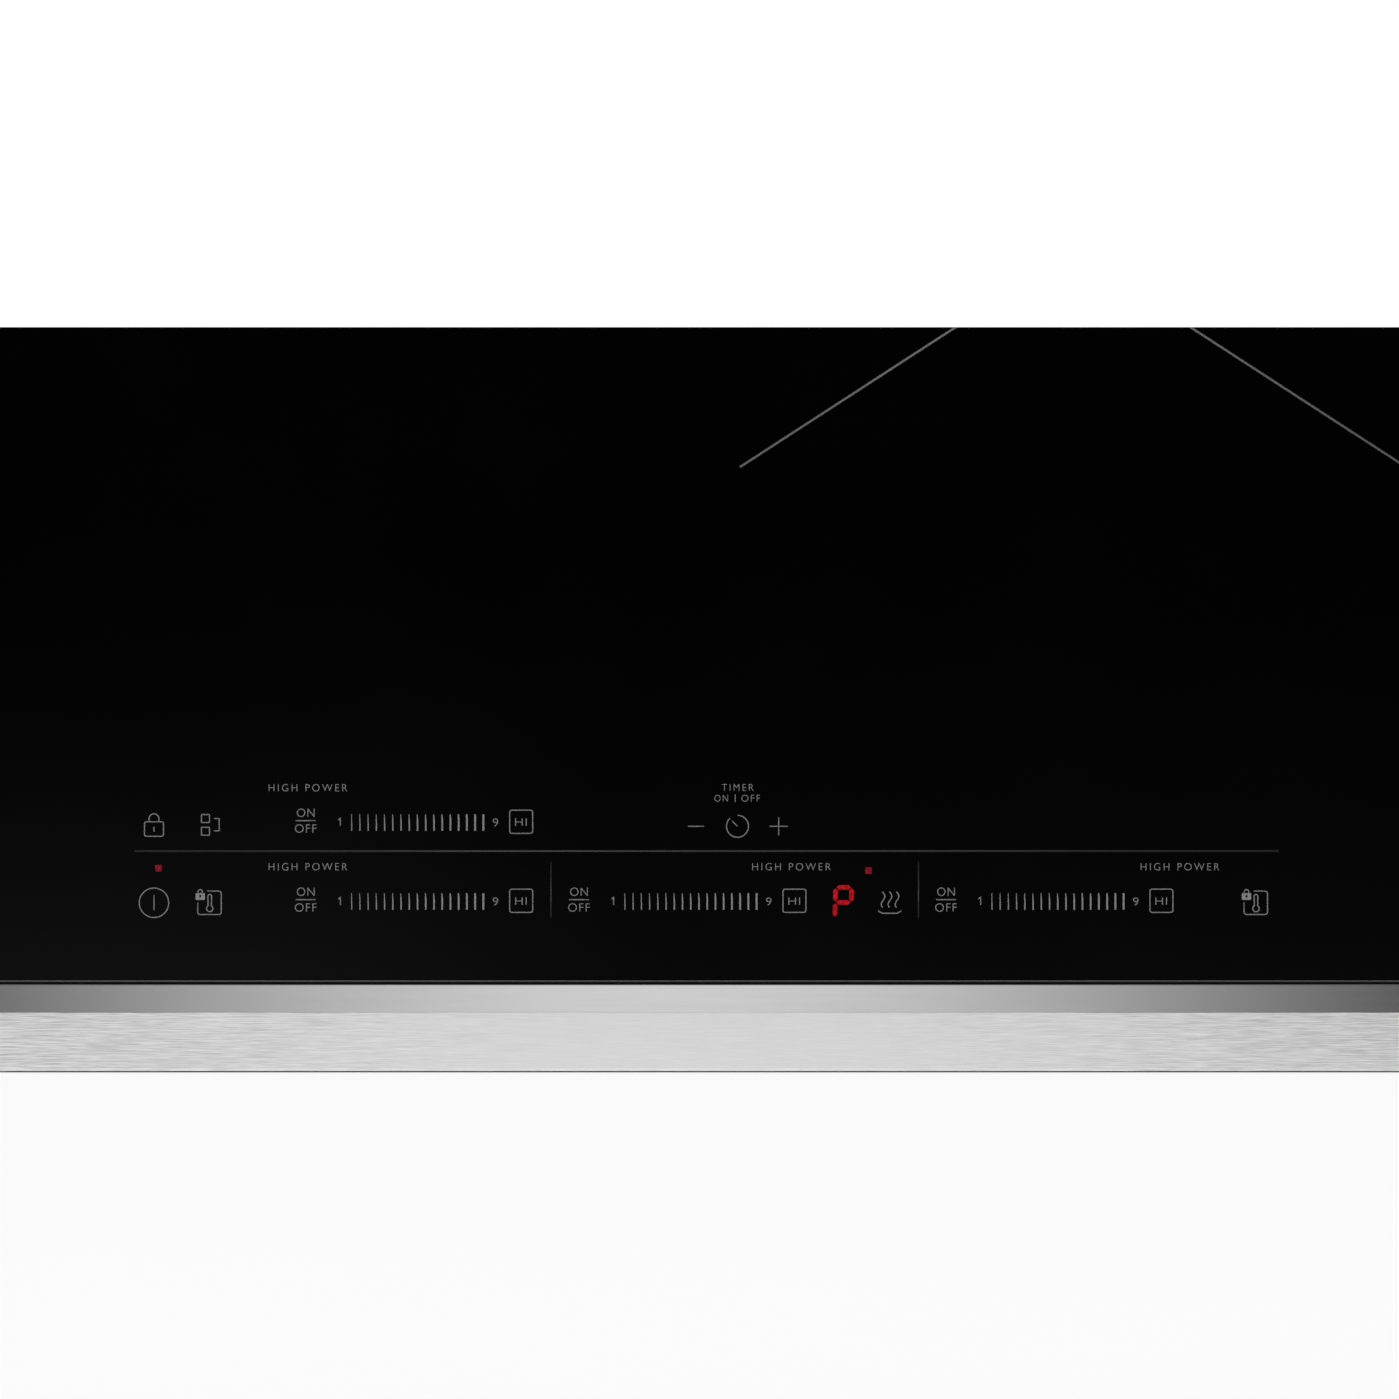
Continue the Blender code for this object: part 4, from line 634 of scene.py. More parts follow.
def dress(material, *names):
    """Gives CAD pieces, which keep their shape, a material."""
    for name in names:
        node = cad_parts[name]
        node.data.materials.clear()
        node.data.materials.append(material)


dress(silicone, "adhesive_bead")

# Seal under the rim. A frame of closed-cell foam, cut from sheet and glued to the underside of the rim.
# The cooktop's weight and the clamp screws press it flat on the worktop.

# Closed-cell foam: dull charcoal, with round cells of about 0.7 mm.
foam, tree, shader, place = new_material("foam_epdm_closed_cell", Roughness=0.85)
cells = add_node(tree, "ShaderNodeTexVoronoi", {"Vector": place, "Scale": 1400.0}).outputs["Distance"]
colour = add_node(tree, "ShaderNodeMix", {0: cells, 6: linear("141416"), 7: linear("262628")}, data_type="RGBA")
tree.links.new(colour.outputs[2], shader.inputs["Base Color"])
pits = add_node(tree, "ShaderNodeBump", {"Height": cells, "Strength": 0.5, "Distance": 0.3 * MM})
tree.links.new(pits.outputs["Normal"], shader.inputs["Normal"])
dress(foam, "seal_gasket")

# Glass frame and housing tray. Galvanised sheet, 1.2 and 0.8 mm, cut, punched and folded. The tray's
# walls are screwed to the frame's lip all round, and stiffened with pressed beads.

# Hot-dip galvanised steel: grey zinc crystals about 5 mm across, each of its own brightness.
galvanised, tree, shader, place = new_material("steel_galvanised_sheet", Metallic=1.0)
spangle = add_node(tree, "ShaderNodeTexVoronoi", {"Vector": place, "Scale": 200.0})
facet = add_node(tree, "ShaderNodeSeparateColor", {"Color": spangle.outputs["Color"]}).outputs["Red"]
cloud = add_node(tree, "ShaderNodeTexNoise", {"Vector": place, "Scale": 20.0, "Detail": 3.0}).outputs["Fac"]
colour = add_node(tree, "ShaderNodeMix", {0: facet, 6: linear("a7abad"), 7: linear("babdbe")}, data_type="RGBA")
tree.links.new(colour.outputs[2], shader.inputs["Base Color"])
dull = add_node(tree, "ShaderNodeMath", {0: facet, 1: cloud}, operation="ADD")
level = add_node(tree, "ShaderNodeMapRange", {
    "Value": dull.outputs[0], "From Min": 0.3, "From Max": 1.5, "To Min": 0.36, "To Max": 0.44})
tree.links.new(level.outputs["Result"], shader.inputs["Roughness"])
rolled = add_node(tree, "ShaderNodeTexNoise", {"Vector": place, "Scale": 200.0, "Detail": 4.0}).outputs["Fac"]
uneven = add_node(tree, "ShaderNodeBump", {"Height": rolled, "Strength": 0.08, "Distance": 0.1 * MM})
tree.links.new(uneven.outputs["Normal"], shader.inputs["Normal"])
dress(galvanised, "glass_frame", "housing_tray")
tray_low, tray_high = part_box("housing_tray")


def turned(name, profile, steps=32):
    """A shape turned about Z from (radius, height) points in mm, which start and end on the axis."""
    bpy.ops.object.select_all(action="DESELECT")
    curve = bpy.data.curves.new(name, "CURVE")
    curve.dimensions = "3D"
    spline = curve.splines.new("POLY")
    spline.points.add(len(profile) - 1)
    for point, (radius, height) in zip(spline.points, profile):
        point.co = (radius * MM, 0, height * MM, 1)
    drawn = bpy.data.objects.new(name, curve)
    bpy.context.scene.collection.objects.link(drawn)
    pick(drawn)
    bpy.ops.object.convert(target="MESH")
    made = bpy.context.object
    bpy.ops.object.mode_set(mode="EDIT")
    bpy.ops.mesh.select_all(action="SELECT")
    bpy.ops.mesh.spin(steps=steps, angle=math.tau, center=(0, 0, 0), axis=(0, 0, 1))
    bpy.ops.mesh.select_all(action="SELECT")
    bpy.ops.mesh.remove_doubles(threshold=0.000001)
    bpy.ops.mesh.normals_make_consistent(inside=False)
    bpy.ops.object.mode_set(mode="OBJECT")
    return made


def put(made, place, towards=(0, 0, 1)):
    """Turns a piece's own +Z towards a direction, moves it to a place and applies both."""
    pick(made)
    made.rotation_euler = Vector(towards).to_track_quat("Z", "Y").to_euler()
    made.location = place
    bpy.ops.object.transform_apply(location=True, rotation=True, scale=True)
    return made


def copy_of(made, name):
    """A copy with a mesh of its own."""
    twin = made.copy()
    twin.data = made.data.copy()
    twin.name = name
    bpy.context.scene.collection.objects.link(twin)
    return twin


# Zinc-plated steel: bright and a little blue, with turning marks, drawn 0.5 mm apart so that they show.
zinc_plate, tree, shader, place = new_material("steel_zinc_plated", Metallic=1.0)
marks = add_node(tree, "ShaderNodeTexNoise", {"Vector": place, "Scale": 2000.0, "Detail": 2.0}).outputs["Fac"]
colour = add_node(tree, "ShaderNodeMix", {0: marks, 6: linear("a9adb2"), 7: linear("cfd2d5")}, data_type="RGBA")
tree.links.new(colour.outputs[2], shader.inputs["Base Color"])
level = add_node(tree, "ShaderNodeMapRange", {"Value": marks, "To Min": 0.2, "To Max": 0.4})
tree.links.new(level.outputs["Result"], shader.inputs["Roughness"])

# Pan-head self-tapping screw, 4 mm thread, head 7.5 mm across with a cross recess.
screw = turned("pan_head_screw", [(0, -1.5), (1.6, -1.5), (1.6, 0), (3.75, 0), (3.75, 0.7), (3.4, 1.4), (2.5, 1.9),
                                  (1.2, 2.15), (0, 2.2)], 24)
cut_away(screw, block("recess_a", (-1.9 * MM, -0.4 * MM, 1 * MM), (1.9 * MM, 0.4 * MM, 3 * MM)),
         block("recess_b", (-0.4 * MM, -1.9 * MM, 1 * MM), (0.4 * MM, 1.9 * MM, 3 * MM)))


def screws(name, places, towards, body="cooktop", slot="zinc_steel"):
    """A row of screws as one piece, their heads facing one way."""
    row = [put(copy_of(screw, f"{name}_{i}"), place, towards) for i, place in enumerate(places)]
    pick(*row)
    if len(row) > 1:
        bpy.ops.object.join()
    row[0].name = name
    return complete(row[0], zinc_plate, smooth=30, body=body, slot=slot)


SCREW_BELOW_RIM = 6.5 * MM
SCREW_OFF = 0.02 * MM
screw_z = tray_high.z - SCREW_BELOW_RIM
screws("frame_screws_front", [(x * MM, tray_low.y - SCREW_OFF, screw_z) for x in (-300, -150, 0, 150, 300)],
       (0, -1, 0))
screws("frame_screws_rear", [(x * MM, tray_high.y + SCREW_OFF, screw_z) for x in (-300, -180, -60, 60, 180)],
       (0, 1, 0))
for side, sign, edge in (("left", -1, tray_low.x), ("right", 1, tray_high.x)):
    screws(f"frame_screws_{side}", [(edge + sign * SCREW_OFF, y * MM, screw_z) for y in (-190, -95, 95, 185)],
           (sign, 0, 0))


def pressed_bead(name, low, high):
    """A long raised bead with round ends and edges, pressed out of the sheet."""
    made = block(name, low, high)
    bpy.ops.object.mode_set(mode="EDIT")
    thin = min(range(3), key=lambda axis: high[axis] - low[axis])
    width = sorted(high[axis] - low[axis] for axis in range(3))[1]
    choose(made, "EDGE", lambda e: along(e, thin))
    bpy.ops.mesh.bevel(offset=width * 0.49, segments=6)
    bpy.ops.object.mode_set(mode="OBJECT")
    return made


BEAD_RISE = 1.5 * MM
BEAD_WIDTH = 8 * MM
BEAD_Z = 14 * MM
for side, low_y, high_y, spans in (
        ("front", tray_low.y - BEAD_RISE, tray_low.y + BEAD_RISE / 4, ((-320, -180), (-150, 150), (180, 320))),
        ("rear", tray_high.y - BEAD_RISE / 4, tray_high.y + BEAD_RISE, ((-320, -180), (-150, 150)))):
    row = [pressed_bead(f"bead_{side}_{i}", (a * MM, low_y, BEAD_Z), (b * MM, high_y, BEAD_Z + BEAD_WIDTH))
           for i, (a, b) in enumerate(spans)]
    pick(*row)
    bpy.ops.object.join()
    rows = row[0]
    bpy.ops.object.mode_set(mode="EDIT")
    choose(rows, "EDGE", lambda e: all(abs(abs(v.co.y) - max(abs(low_y), abs(high_y))) < SCREW_OFF for v in e.verts)
           and len(e.link_faces) == 2 and e.calc_face_angle() > 1)
    bpy.ops.mesh.bevel(offset=BEAD_RISE * 0.8, segments=3)
    bpy.ops.object.mode_set(mode="OBJECT")
    rows.name = f"stiffening_beads_{side}"
    complete(rows, galvanised, slot="zinc_steel")

# Corner joints. Each side wall of the tray ends in a tab of its own sheet, folded round the corner and
# held by two blind rivets.
TAB_SIZE = (1.0 * MM, 13 * MM, 66 * MM)
TAB_Z = 6 * MM
rivet = turned("rivet", [(0, -0.5), (2.4, -0.5), (2.4, 0.2), (1.9, 0.8), (0.9, 1.0), (0.8, 0.5), (0, 0.5)], 20)
for side, sign, edge in (("front", -1, tray_low.y), ("rear", 1, tray_high.y)):
    tabs, rivets = [], []
    for x_sign, corner in ((1, tray_low.x), (-1, tray_high.x)):
        if side == "rear" and x_sign < 0:
            continue
        near, far = sorted((corner, corner + x_sign * TAB_SIZE[1]))
        back, face = sorted((edge - sign * TAB_SIZE[0] / 4, edge + sign * TAB_SIZE[0]))
        corner_tab = block(f"tab_{side}_{x_sign}", (near, back, TAB_Z), (far, face, TAB_Z + TAB_SIZE[2]))
        bpy.ops.object.mode_set(mode="EDIT")
        choose(corner_tab, "EDGE", lambda e: along(e, 1) and abs(e.verts[0].co.x - corner) > TAB_SIZE[1] / 2)
        bpy.ops.mesh.bevel(offset=5 * MM, segments=1)
        choose(corner_tab, "EDGE", lambda e: all(sign * v.co.y > sign * edge + TAB_SIZE[0] / 2 for v in e.verts))
        bpy.ops.mesh.bevel(offset=0.3 * MM, segments=2)
        bpy.ops.object.mode_set(mode="OBJECT")
        tabs.append(corner_tab)
        rivets.extend(
            put(copy_of(rivet, f"rivet_{side}_{x_sign}_{i}"),
                (corner + x_sign * TAB_SIZE[1] / 2, edge + sign * TAB_SIZE[0], TAB_Z + share * TAB_SIZE[2]),
                (0, sign, 0)) for i, share in enumerate((0.2, 0.8)))
    for kind, parts, material in (("corner_tabs", tabs, galvanised), ("corner_rivets", rivets, zinc_plate)):
        pick(*parts)
        if len(parts) > 1:
            bpy.ops.object.join()
        parts[0].name = f"{kind}_{side}"
        complete(parts[0], material, smooth=30, slot="zinc_steel")
bpy.data.objects.remove(rivet)

# Rating plate. A blank plate of aluminium foil, die-cut with round corners and stuck to the rear wall. It
# is left without any text.

# Mill-finish aluminium: pale and half matt, with faint lines from the rolls along its length, drawn
# 0.7 mm apart so that they show.
aluminium, tree, shader, place = new_material("aluminium_mill_finish", Metallic=1.0)
lines = add_node(tree, "ShaderNodeMapping", {"Vector": place, "Scale": (50, 1500, 1500)}).outputs["Vector"]
mill = add_node(tree, "ShaderNodeTexNoise", {"Vector": lines, "Scale": 1.0, "Detail": 3.0}).outputs["Fac"]
colour = add_node(tree, "ShaderNodeMix", {0: mill, 6: linear("b9bbbd"), 7: linear("d8dadb")}, data_type="RGBA")
tree.links.new(colour.outputs[2], shader.inputs["Base Color"])
level = add_node(tree, "ShaderNodeMapRange", {"Value": mill, "To Min": 0.28, "To Max": 0.45})
tree.links.new(level.outputs["Result"], shader.inputs["Roughness"])
PLATE_SIZE = (90 * MM, 34 * MM)
PLATE_THICK = 0.25 * MM
plate_x, plate_z = -250 * MM, 44 * MM
half_wide, half_tall = PLATE_SIZE[0] / 2, PLATE_SIZE[1] / 2
label = block("rating_plate_blank",
              (plate_x - half_wide, tray_high.y - PLATE_THICK / 5, plate_z - half_tall),
              (plate_x + half_wide, tray_high.y + PLATE_THICK, plate_z + half_tall))
bpy.ops.object.mode_set(mode="EDIT")
choose(label, "EDGE", lambda e: along(e, 1))
bpy.ops.mesh.bevel(offset=3 * MM, segments=6)
bpy.ops.object.mode_set(mode="OBJECT")
complete(label, aluminium, slot="aluminium")

# Hold-down brackets. Steel angles, 2.5 mm thick, screwed to the side walls, each with a weld nut for its
# clamp screw.
dress(galvanised, "hold_down_bracket_left", "hold_down_bracket_right")

# Glass-filled black plastic: spark-eroded mould texture, so it is matt with a grain of about 0.4 mm.
black_plastic, tree, shader, place = new_material("plastic_black_moulded", IOR=1.5)
grain = add_node(tree, "ShaderNodeTexNoise", {"Vector": place, "Scale": 2500.0, "Detail": 2.0}).outputs["Fac"]
colour = add_node(tree, "ShaderNodeMix", {0: grain, 6: linear("17181a"), 7: linear("242528")}, data_type="RGBA")
tree.links.new(colour.outputs[2], shader.inputs["Base Color"])
level = add_node(tree, "ShaderNodeMapRange", {"Value": grain, "To Min": 0.42, "To Max": 0.6})
tree.links.new(level.outputs["Result"], shader.inputs["Roughness"])
pits = add_node(tree, "ShaderNodeBump", {"Height": grain, "Strength": 0.2, "Distance": 0.05 * MM})
tree.links.new(pits.outputs["Normal"], shader.inputs["Normal"])

BRACKET_SHEET = 2.5 * MM
for side, sign in (("left", -1), ("right", 1)):
    low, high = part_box(f"hold_down_bracket_{side}")
    wall = (low.x if sign > 0 else high.x) + sign * (BRACKET_SHEET + SCREW_OFF)
    screws(f"bracket_screws_{side}", [(wall, y * MM, z * MM) for y in (-12, 12) for z in (44, 62)], (sign, 0, 0))
    screw_low, screw_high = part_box(f"clamp_screw_{side}")
    axis_x = (screw_low.x + screw_high.x) / 2
    nut = turned(f"weld_nut_{side}", [(3.4, 0), (6.2, 0), (6.2, 3.6), (5.8, 4.0), (3.4, 4.0), (3.4, 0)], 6)
    put(nut, (axis_x, 0, low.z + BRACKET_SHEET + SCREW_OFF))
    complete(nut, zinc_plate, smooth=20, slot="zinc_steel")

    # Clamp screw: hexagon head below and rolled thread.
    thread = [(2.55 + 0.42 * (i % 2), 6.0 + i * 0.5) for i in range(74)]
    bolt = turned(f"clamp_bolt_{side}", [(0, 4.8), (2.9, 4.8), (2.9, 5.6), *thread, (2.5, 43), (0, 43)], 20)
    head = turned(f"clamp_head_{side}", [(0, 0), (5.6, 0), (6.4, 0.5), (6.4, 4.5), (5.6, 5.0), (0, 5.0)], 6)
    pick(bolt, head)
    bpy.ops.object.join()
    put(bolt, (axis_x, 0, screw_low.z))
    complete(bolt, zinc_plate, smooth=25, body=f"clamp_{side}", slot="zinc_steel")
    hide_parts(f"clamp_screw_{side}")

    # Plastic pad, pressed on the screw's end, which bears on the underside of the worktop.
    pad = turned(f"clamp_pad_{side}", [(0, 42.8), (4.2, 42.8), (5, 43.6), (5, 46.2), (4.3, 47), (0, 47)], 28)
    put(pad, (axis_x, 0, screw_low.z))
    complete(pad, black_plastic, body=f"clamp_{side}", slot="black_plastic")

# Coil carrier and heat sinks. The carrier is a bench of folded aluminium sheet that holds the coils up;
# each heat sink is an extruded comb, sawn to length, on a power board.
dress(aluminium, "coil_carrier", "heatsink_left", "heatsink_right")

# Coils. Enamelled copper litz wound flat on a plastic former, over a star of ferrite bars, under a disc of
# mica. A sensor in the middle is pressed to the glass.
COILS = ("right", "front_left", "rear_left", "rear_centre")

# Litz: bright orange copper under clear enamel, with strands about 1 mm apart that twist as they run.
copper, tree, shader, place = new_material("copper_litz_enamelled", Metallic=1.0, Coat_Weight=0.5,
                                           Coat_Roughness=0.15)
strands = add_node(tree, "ShaderNodeTexNoise", {"Vector": place, "Scale": 900.0, "Detail": 3.0}).outputs["Fac"]
colour = add_node(tree, "ShaderNodeMix", {0: strands, 6: linear("8a4a2a"), 7: linear("d98f63")}, data_type="RGBA")
tree.links.new(colour.outputs[2], shader.inputs["Base Color"])
level = add_node(tree, "ShaderNodeMapRange", {"Value": strands, "To Min": 0.25, "To Max": 0.45})
tree.links.new(level.outputs["Result"], shader.inputs["Roughness"])
twist = add_node(tree, "ShaderNodeBump", {"Height": strands, "Strength": 0.4, "Distance": 0.3 * MM})
tree.links.new(twist.outputs["Normal"], shader.inputs["Normal"])

# Ferrite: pressed and fired powder, near black and matt, with chipped grains of about 0.7 mm.
ferrite, tree, shader, place = new_material("ferrite_fired", IOR=1.6)
grains = add_node(tree, "ShaderNodeTexNoise", {"Vector": place, "Scale": 1500.0, "Detail": 3.0}).outputs["Fac"]
colour = add_node(tree, "ShaderNodeMix", {0: grains, 6: linear("242427"), 7: linear("3b3b3f")}, data_type="RGBA")
tree.links.new(colour.outputs[2], shader.inputs["Base Color"])
level = add_node(tree, "ShaderNodeMapRange", {"Value": grains, "To Min": 0.5, "To Max": 0.75})
tree.links.new(level.outputs["Result"], shader.inputs["Roughness"])

# Mica sheet: pressed flakes in resin, warm grey with a soft glitter, flakes about 2 mm across.
mica, tree, shader, place = new_material("mica_pressed_sheet", IOR=1.58)
flakes = add_node(tree, "ShaderNodeTexVoronoi", {"Vector": place, "Scale": 500.0})
flake = add_node(tree, "ShaderNodeSeparateColor", {"Color": flakes.outputs["Color"]}).outputs["Red"]
colour = add_node(tree, "ShaderNodeMix", {0: flake, 6: linear("b3a992"), 7: linear("cfc8b6")}, data_type="RGBA")
tree.links.new(colour.outputs[2], shader.inputs["Base Color"])
level = add_node(tree, "ShaderNodeMapRange", {"Value": flake, "To Min": 0.25, "To Max": 0.6})
tree.links.new(level.outputs["Result"], shader.inputs["Roughness"])

# Pale technical plastic: natural polyamide, cream white and a little waxy, with clouds of about 7 mm.
light_plastic, tree, shader, place = new_material("plastic_natural_polyamide", IOR=1.53)
cloud = add_node(tree, "ShaderNodeTexNoise", {"Vector": place, "Scale": 150.0, "Detail": 3.0}).outputs["Fac"]
colour = add_node(tree, "ShaderNodeMix", {0: cloud, 6: linear("cfccc2"), 7: linear("dedbd2")}, data_type="RGBA")
tree.links.new(colour.outputs[2], shader.inputs["Base Color"])
level = add_node(tree, "ShaderNodeMapRange", {"Value": cloud, "To Min": 0.35, "To Max": 0.5})
tree.links.new(level.outputs["Result"], shader.inputs["Roughness"])
HOLE = 22 * MM
STEPS_A_TURN = 40


def wound(name, low, high):
    """A flat coil: one round litz wound from the hole outwards, turn beside turn."""
    bpy.ops.object.select_all(action="DESELECT")
    litz = (high.z - low.z) / 2
    pitch = 2 * litz
    x, y, z = (low + high) / 2
    turns = ((high.x - low.x) / 2 - HOLE - pitch) / pitch
    curve = bpy.data.curves.new(name, "CURVE")
    curve.dimensions = "3D"
    curve.bevel_depth = litz * 0.98
    curve.bevel_resolution = 2
    curve.use_fill_caps = True
    spline = curve.splines.new("POLY")
    steps = int(turns * STEPS_A_TURN)
    spline.points.add(steps)
    for i, point in enumerate(spline.points):
        turn = i / STEPS_A_TURN
        radius = HOLE + litz + pitch * turn
        point.co = (x + radius * math.cos(math.tau * turn), y + radius * math.sin(math.tau * turn), z, 1)
    drawn = bpy.data.objects.new(name, curve)
    bpy.context.scene.collection.objects.link(drawn)
    pick(drawn)
    bpy.ops.object.convert(target="MESH")
    return bpy.context.object


for coil in COILS:
    winding = wound(f"litz_winding_{coil}", *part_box(f"coil_winding_{coil}"))
    complete(winding, copper, smooth=60, slot="copper")
    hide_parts(f"coil_winding_{coil}")
    dress(ferrite, f"ferrite_star_{coil}")
    dress(mica, f"insulation_disc_{coil}")
    dress(black_plastic, f"coil_former_{coil}")
    dress(light_plastic, f"temperature_sensor_{coil}")

# Circuit boards. Glass-epoxy laminate, etched, coated with green solder resist and sawn to size. The power
# and filter boards stand on the tray's floor; the touch board lies in the control tray under the glass.

# Green resist: half gloss, and paler where a track, about 4 mm wide, lies under it.
solder_resist, tree, shader, place = new_material("circuit_board_green_resist", IOR=1.55)
tracks = add_node(tree, "ShaderNodeTexVoronoi", {"Vector": place, "Scale": 220.0}, distance="MANHATTAN",
                  feature="DISTANCE_TO_EDGE")
raised = add_node(tree, "ShaderNodeMapRange", {
    "Value": tracks.outputs["Distance"], "From Min": 0.06, "From Max": 0.10}).outputs["Result"]
colour = add_node(tree, "ShaderNodeMix", {0: raised, 6: linear("0f3a24"), 7: linear("1d5a38")}, data_type="RGBA")
tree.links.new(colour.outputs[2], shader.inputs["Base Color"])
level = add_node(tree, "ShaderNodeMapRange", {"Value": raised, "To Min": 0.42, "To Max": 0.3})
tree.links.new(level.outputs["Result"], shader.inputs["Roughness"])
edges = add_node(tree, "ShaderNodeBump", {"Height": raised, "Strength": 0.5, "Distance": 0.05 * MM})
tree.links.new(edges.outputs["Normal"], shader.inputs["Normal"])
dress(solder_resist, "power_board_left", "power_board_right", "filter_board", "touch_board")
dress(black_plastic, "transistor_bank_left", "transistor_bank_right",
      "display_front_left", "display_rear_left", "display_rear_centre", "display_right")
dress(light_plastic, "control_tray", "terminal_block")


def rounded(name, low, high, radius, segments=3):
    """A moulded box with all its edges rounded."""
    made = block(name, low, high)
    bpy.ops.object.mode_set(mode="EDIT")
    bpy.ops.mesh.select_all(action="SELECT")
    bpy.ops.mesh.bevel(offset=radius, segments=segments)
    bpy.ops.object.mode_set(mode="OBJECT")
    return made


# Bus capacitors. Aluminium cans in a shrunk plastic sleeve, with a rolled groove and a scored top. They
# stand on the power boards, beside the smaller parts of the inverters.
for side, sign in (("left", -1), ("right", 1)):
    low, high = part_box(f"bus_capacitor_{side}")
    radius, tall = (high.x - low.x) / 2 / MM, (high.z - low.z) / MM
    can = turned(f"capacitor_sleeve_{side}", [
        (0, 0), (radius - 0.5, 0), (radius, 0.6), (radius, 3.0), (radius - 0.9, 3.8), (radius, 4.6),
        (radius, tall - 1.2), (radius - 0.6, tall - 0.2), (radius - 2.5, tall), (radius - 3, tall - 0.7),
        (0, tall - 0.7)], 48)
    put(can, ((low.x + high.x) / 2, (low.y + high.y) / 2, low.z))
    complete(can, black_plastic, aluminium, smooth=35, slot="black_plastic")
    bpy.ops.object.mode_set(mode="EDIT")
    can.active_material_index = 1
    choose(can, "FACE", lambda f: f.calc_center_median().z > high.z - 0.75 * MM
           and (f.calc_center_median() - (low + high) / 2).to_2d().length < (radius - 3) * MM)
    bpy.ops.object.material_slot_assign()
    bpy.ops.object.mode_set(mode="OBJECT")
    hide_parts(f"bus_capacitor_{side}")

    # Film capacitors are potted boxes, and the connectors moulded headers, soldered upright in a row.
    board_low, board_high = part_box(f"power_board_{side}")
    edge_x = board_high.x if sign > 0 else board_low.x
    films, headers = [], []
    for i, y in enumerate((-76, -58, -40)):
        films.append(rounded(f"film_{i}", (sign * 0.190, y * MM, board_high.z - 0.2 * MM),
                             (sign * 0.2165, (y + 11) * MM, board_high.z + 19 * MM), 0.8 * MM))
    for i, y in enumerate((-70, -30, 10, 50)):
        headers.append(rounded(f"header_{i}", (edge_x - sign * 0.0115, y * MM, board_high.z - 0.2 * MM),
                               (edge_x - sign * 0.002, (y + 22) * MM, board_high.z + 9 * MM), 0.5 * MM, 2))
        bpy.ops.object.mode_set(mode="EDIT")
        choose(headers[-1], "FACE", lambda f: f.normal.z > 0.9 and f.calc_area() > 100 * MM * MM)
        bpy.ops.mesh.inset(thickness=1.1 * MM)
        bpy.ops.transform.translate(value=(0, 0, -6 * MM))
        bpy.ops.object.mode_set(mode="OBJECT")
    for kind, parts, material, slot in ((f"film_capacitors_{side}", films, mica, "mica"),
                                        (f"board_headers_{side}", headers, light_plastic, "light_plastic")):
        pick(*parts)
        bpy.ops.object.join()
        parts[0].name = kind
        complete(parts[0], material, smooth=30, slot=slot)

# Filter choke. A pressed ring of ferrite with its edges rounded, and one layer of enamelled copper wire
# wound round each half. It is soldered to the filter board.
choke_low, choke_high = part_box("filter_choke")
choke = (choke_low + choke_high) / 2
WIRE = 1.0 * MM
ring_out, ring_tall = (choke_high.x - choke_low.x) / 2 - 2 * WIRE, choke_high.z - choke_low.z - 4 * WIRE
ring_in = ring_out * 0.5
core = turned("choke_core", [(ring_in / MM, 0), (ring_out / MM, 0), (ring_out / MM, ring_tall / MM),
                             (ring_in / MM, ring_tall / MM), (ring_in / MM, 0)], 48)
put(core, (choke.x, choke.y, choke.z - ring_tall / 2))
bpy.ops.object.mode_set(mode="EDIT")
choose(core, "EDGE", lambda e: abs(e.verts[0].co.z - e.verts[1].co.z) < FACE_GAP and e.calc_face_angle(0) > 1)
bpy.ops.mesh.bevel(offset=1.2 * MM, segments=3)
bpy.ops.object.mode_set(mode="OBJECT")
complete(core, ferrite, slot="ferrite")
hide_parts("filter_choke")
halves = []
WRAPS = 13
for half in (0, 1):
    bpy.ops.object.select_all(action="DESELECT")
    curve = bpy.data.curves.new("wraps", "CURVE")
    curve.dimensions = "3D"
    curve.bevel_depth = WIRE * 0.9
    curve.bevel_resolution = 1
    curve.use_fill_caps = True
    spline = curve.splines.new("POLY")
    steps = WRAPS * 16
    spline.points.add(steps)
    for i, point in enumerate(spline.points):
        round_ring = math.radians(15 + 150 * i / steps + 180 * half)
        round_core = math.tau * i / 16
        middle, reach = (ring_out + ring_in) / 2, (ring_out - ring_in) / 2 + WIRE
        out = middle + max(-reach, min(reach, 1.35 * reach * math.cos(round_core)))
        up = max(-1, min(1, 1.35 * math.sin(round_core))) * (ring_tall / 2 + WIRE)
        point.co = (choke.x + out * math.cos(round_ring), choke.y + out * math.sin(round_ring), choke.z + up, 1)
    wraps = bpy.data.objects.new("wraps", curve)
    bpy.context.scene.collection.objects.link(wraps)
    pick(wraps)
    bpy.ops.object.convert(target="MESH")
    halves.append(bpy.context.object)
pick(*halves)
bpy.ops.object.join()
halves[0].name = "choke_windings"
complete(halves[0], copper, smooth=60, slot="copper")

# Fans. The frame and the impeller are each moulded in one piece from glass-filled plastic. The impeller is
# pressed on a ground steel shaft, which turns in the frame's bearing.
dress(black_plastic, "fan_frame_left", "fan_frame_right", "fan_impeller_left", "fan_impeller_right")
dress(zinc_plate, "fan_shaft_left", "fan_shaft_right", "cover_hinge_pin")

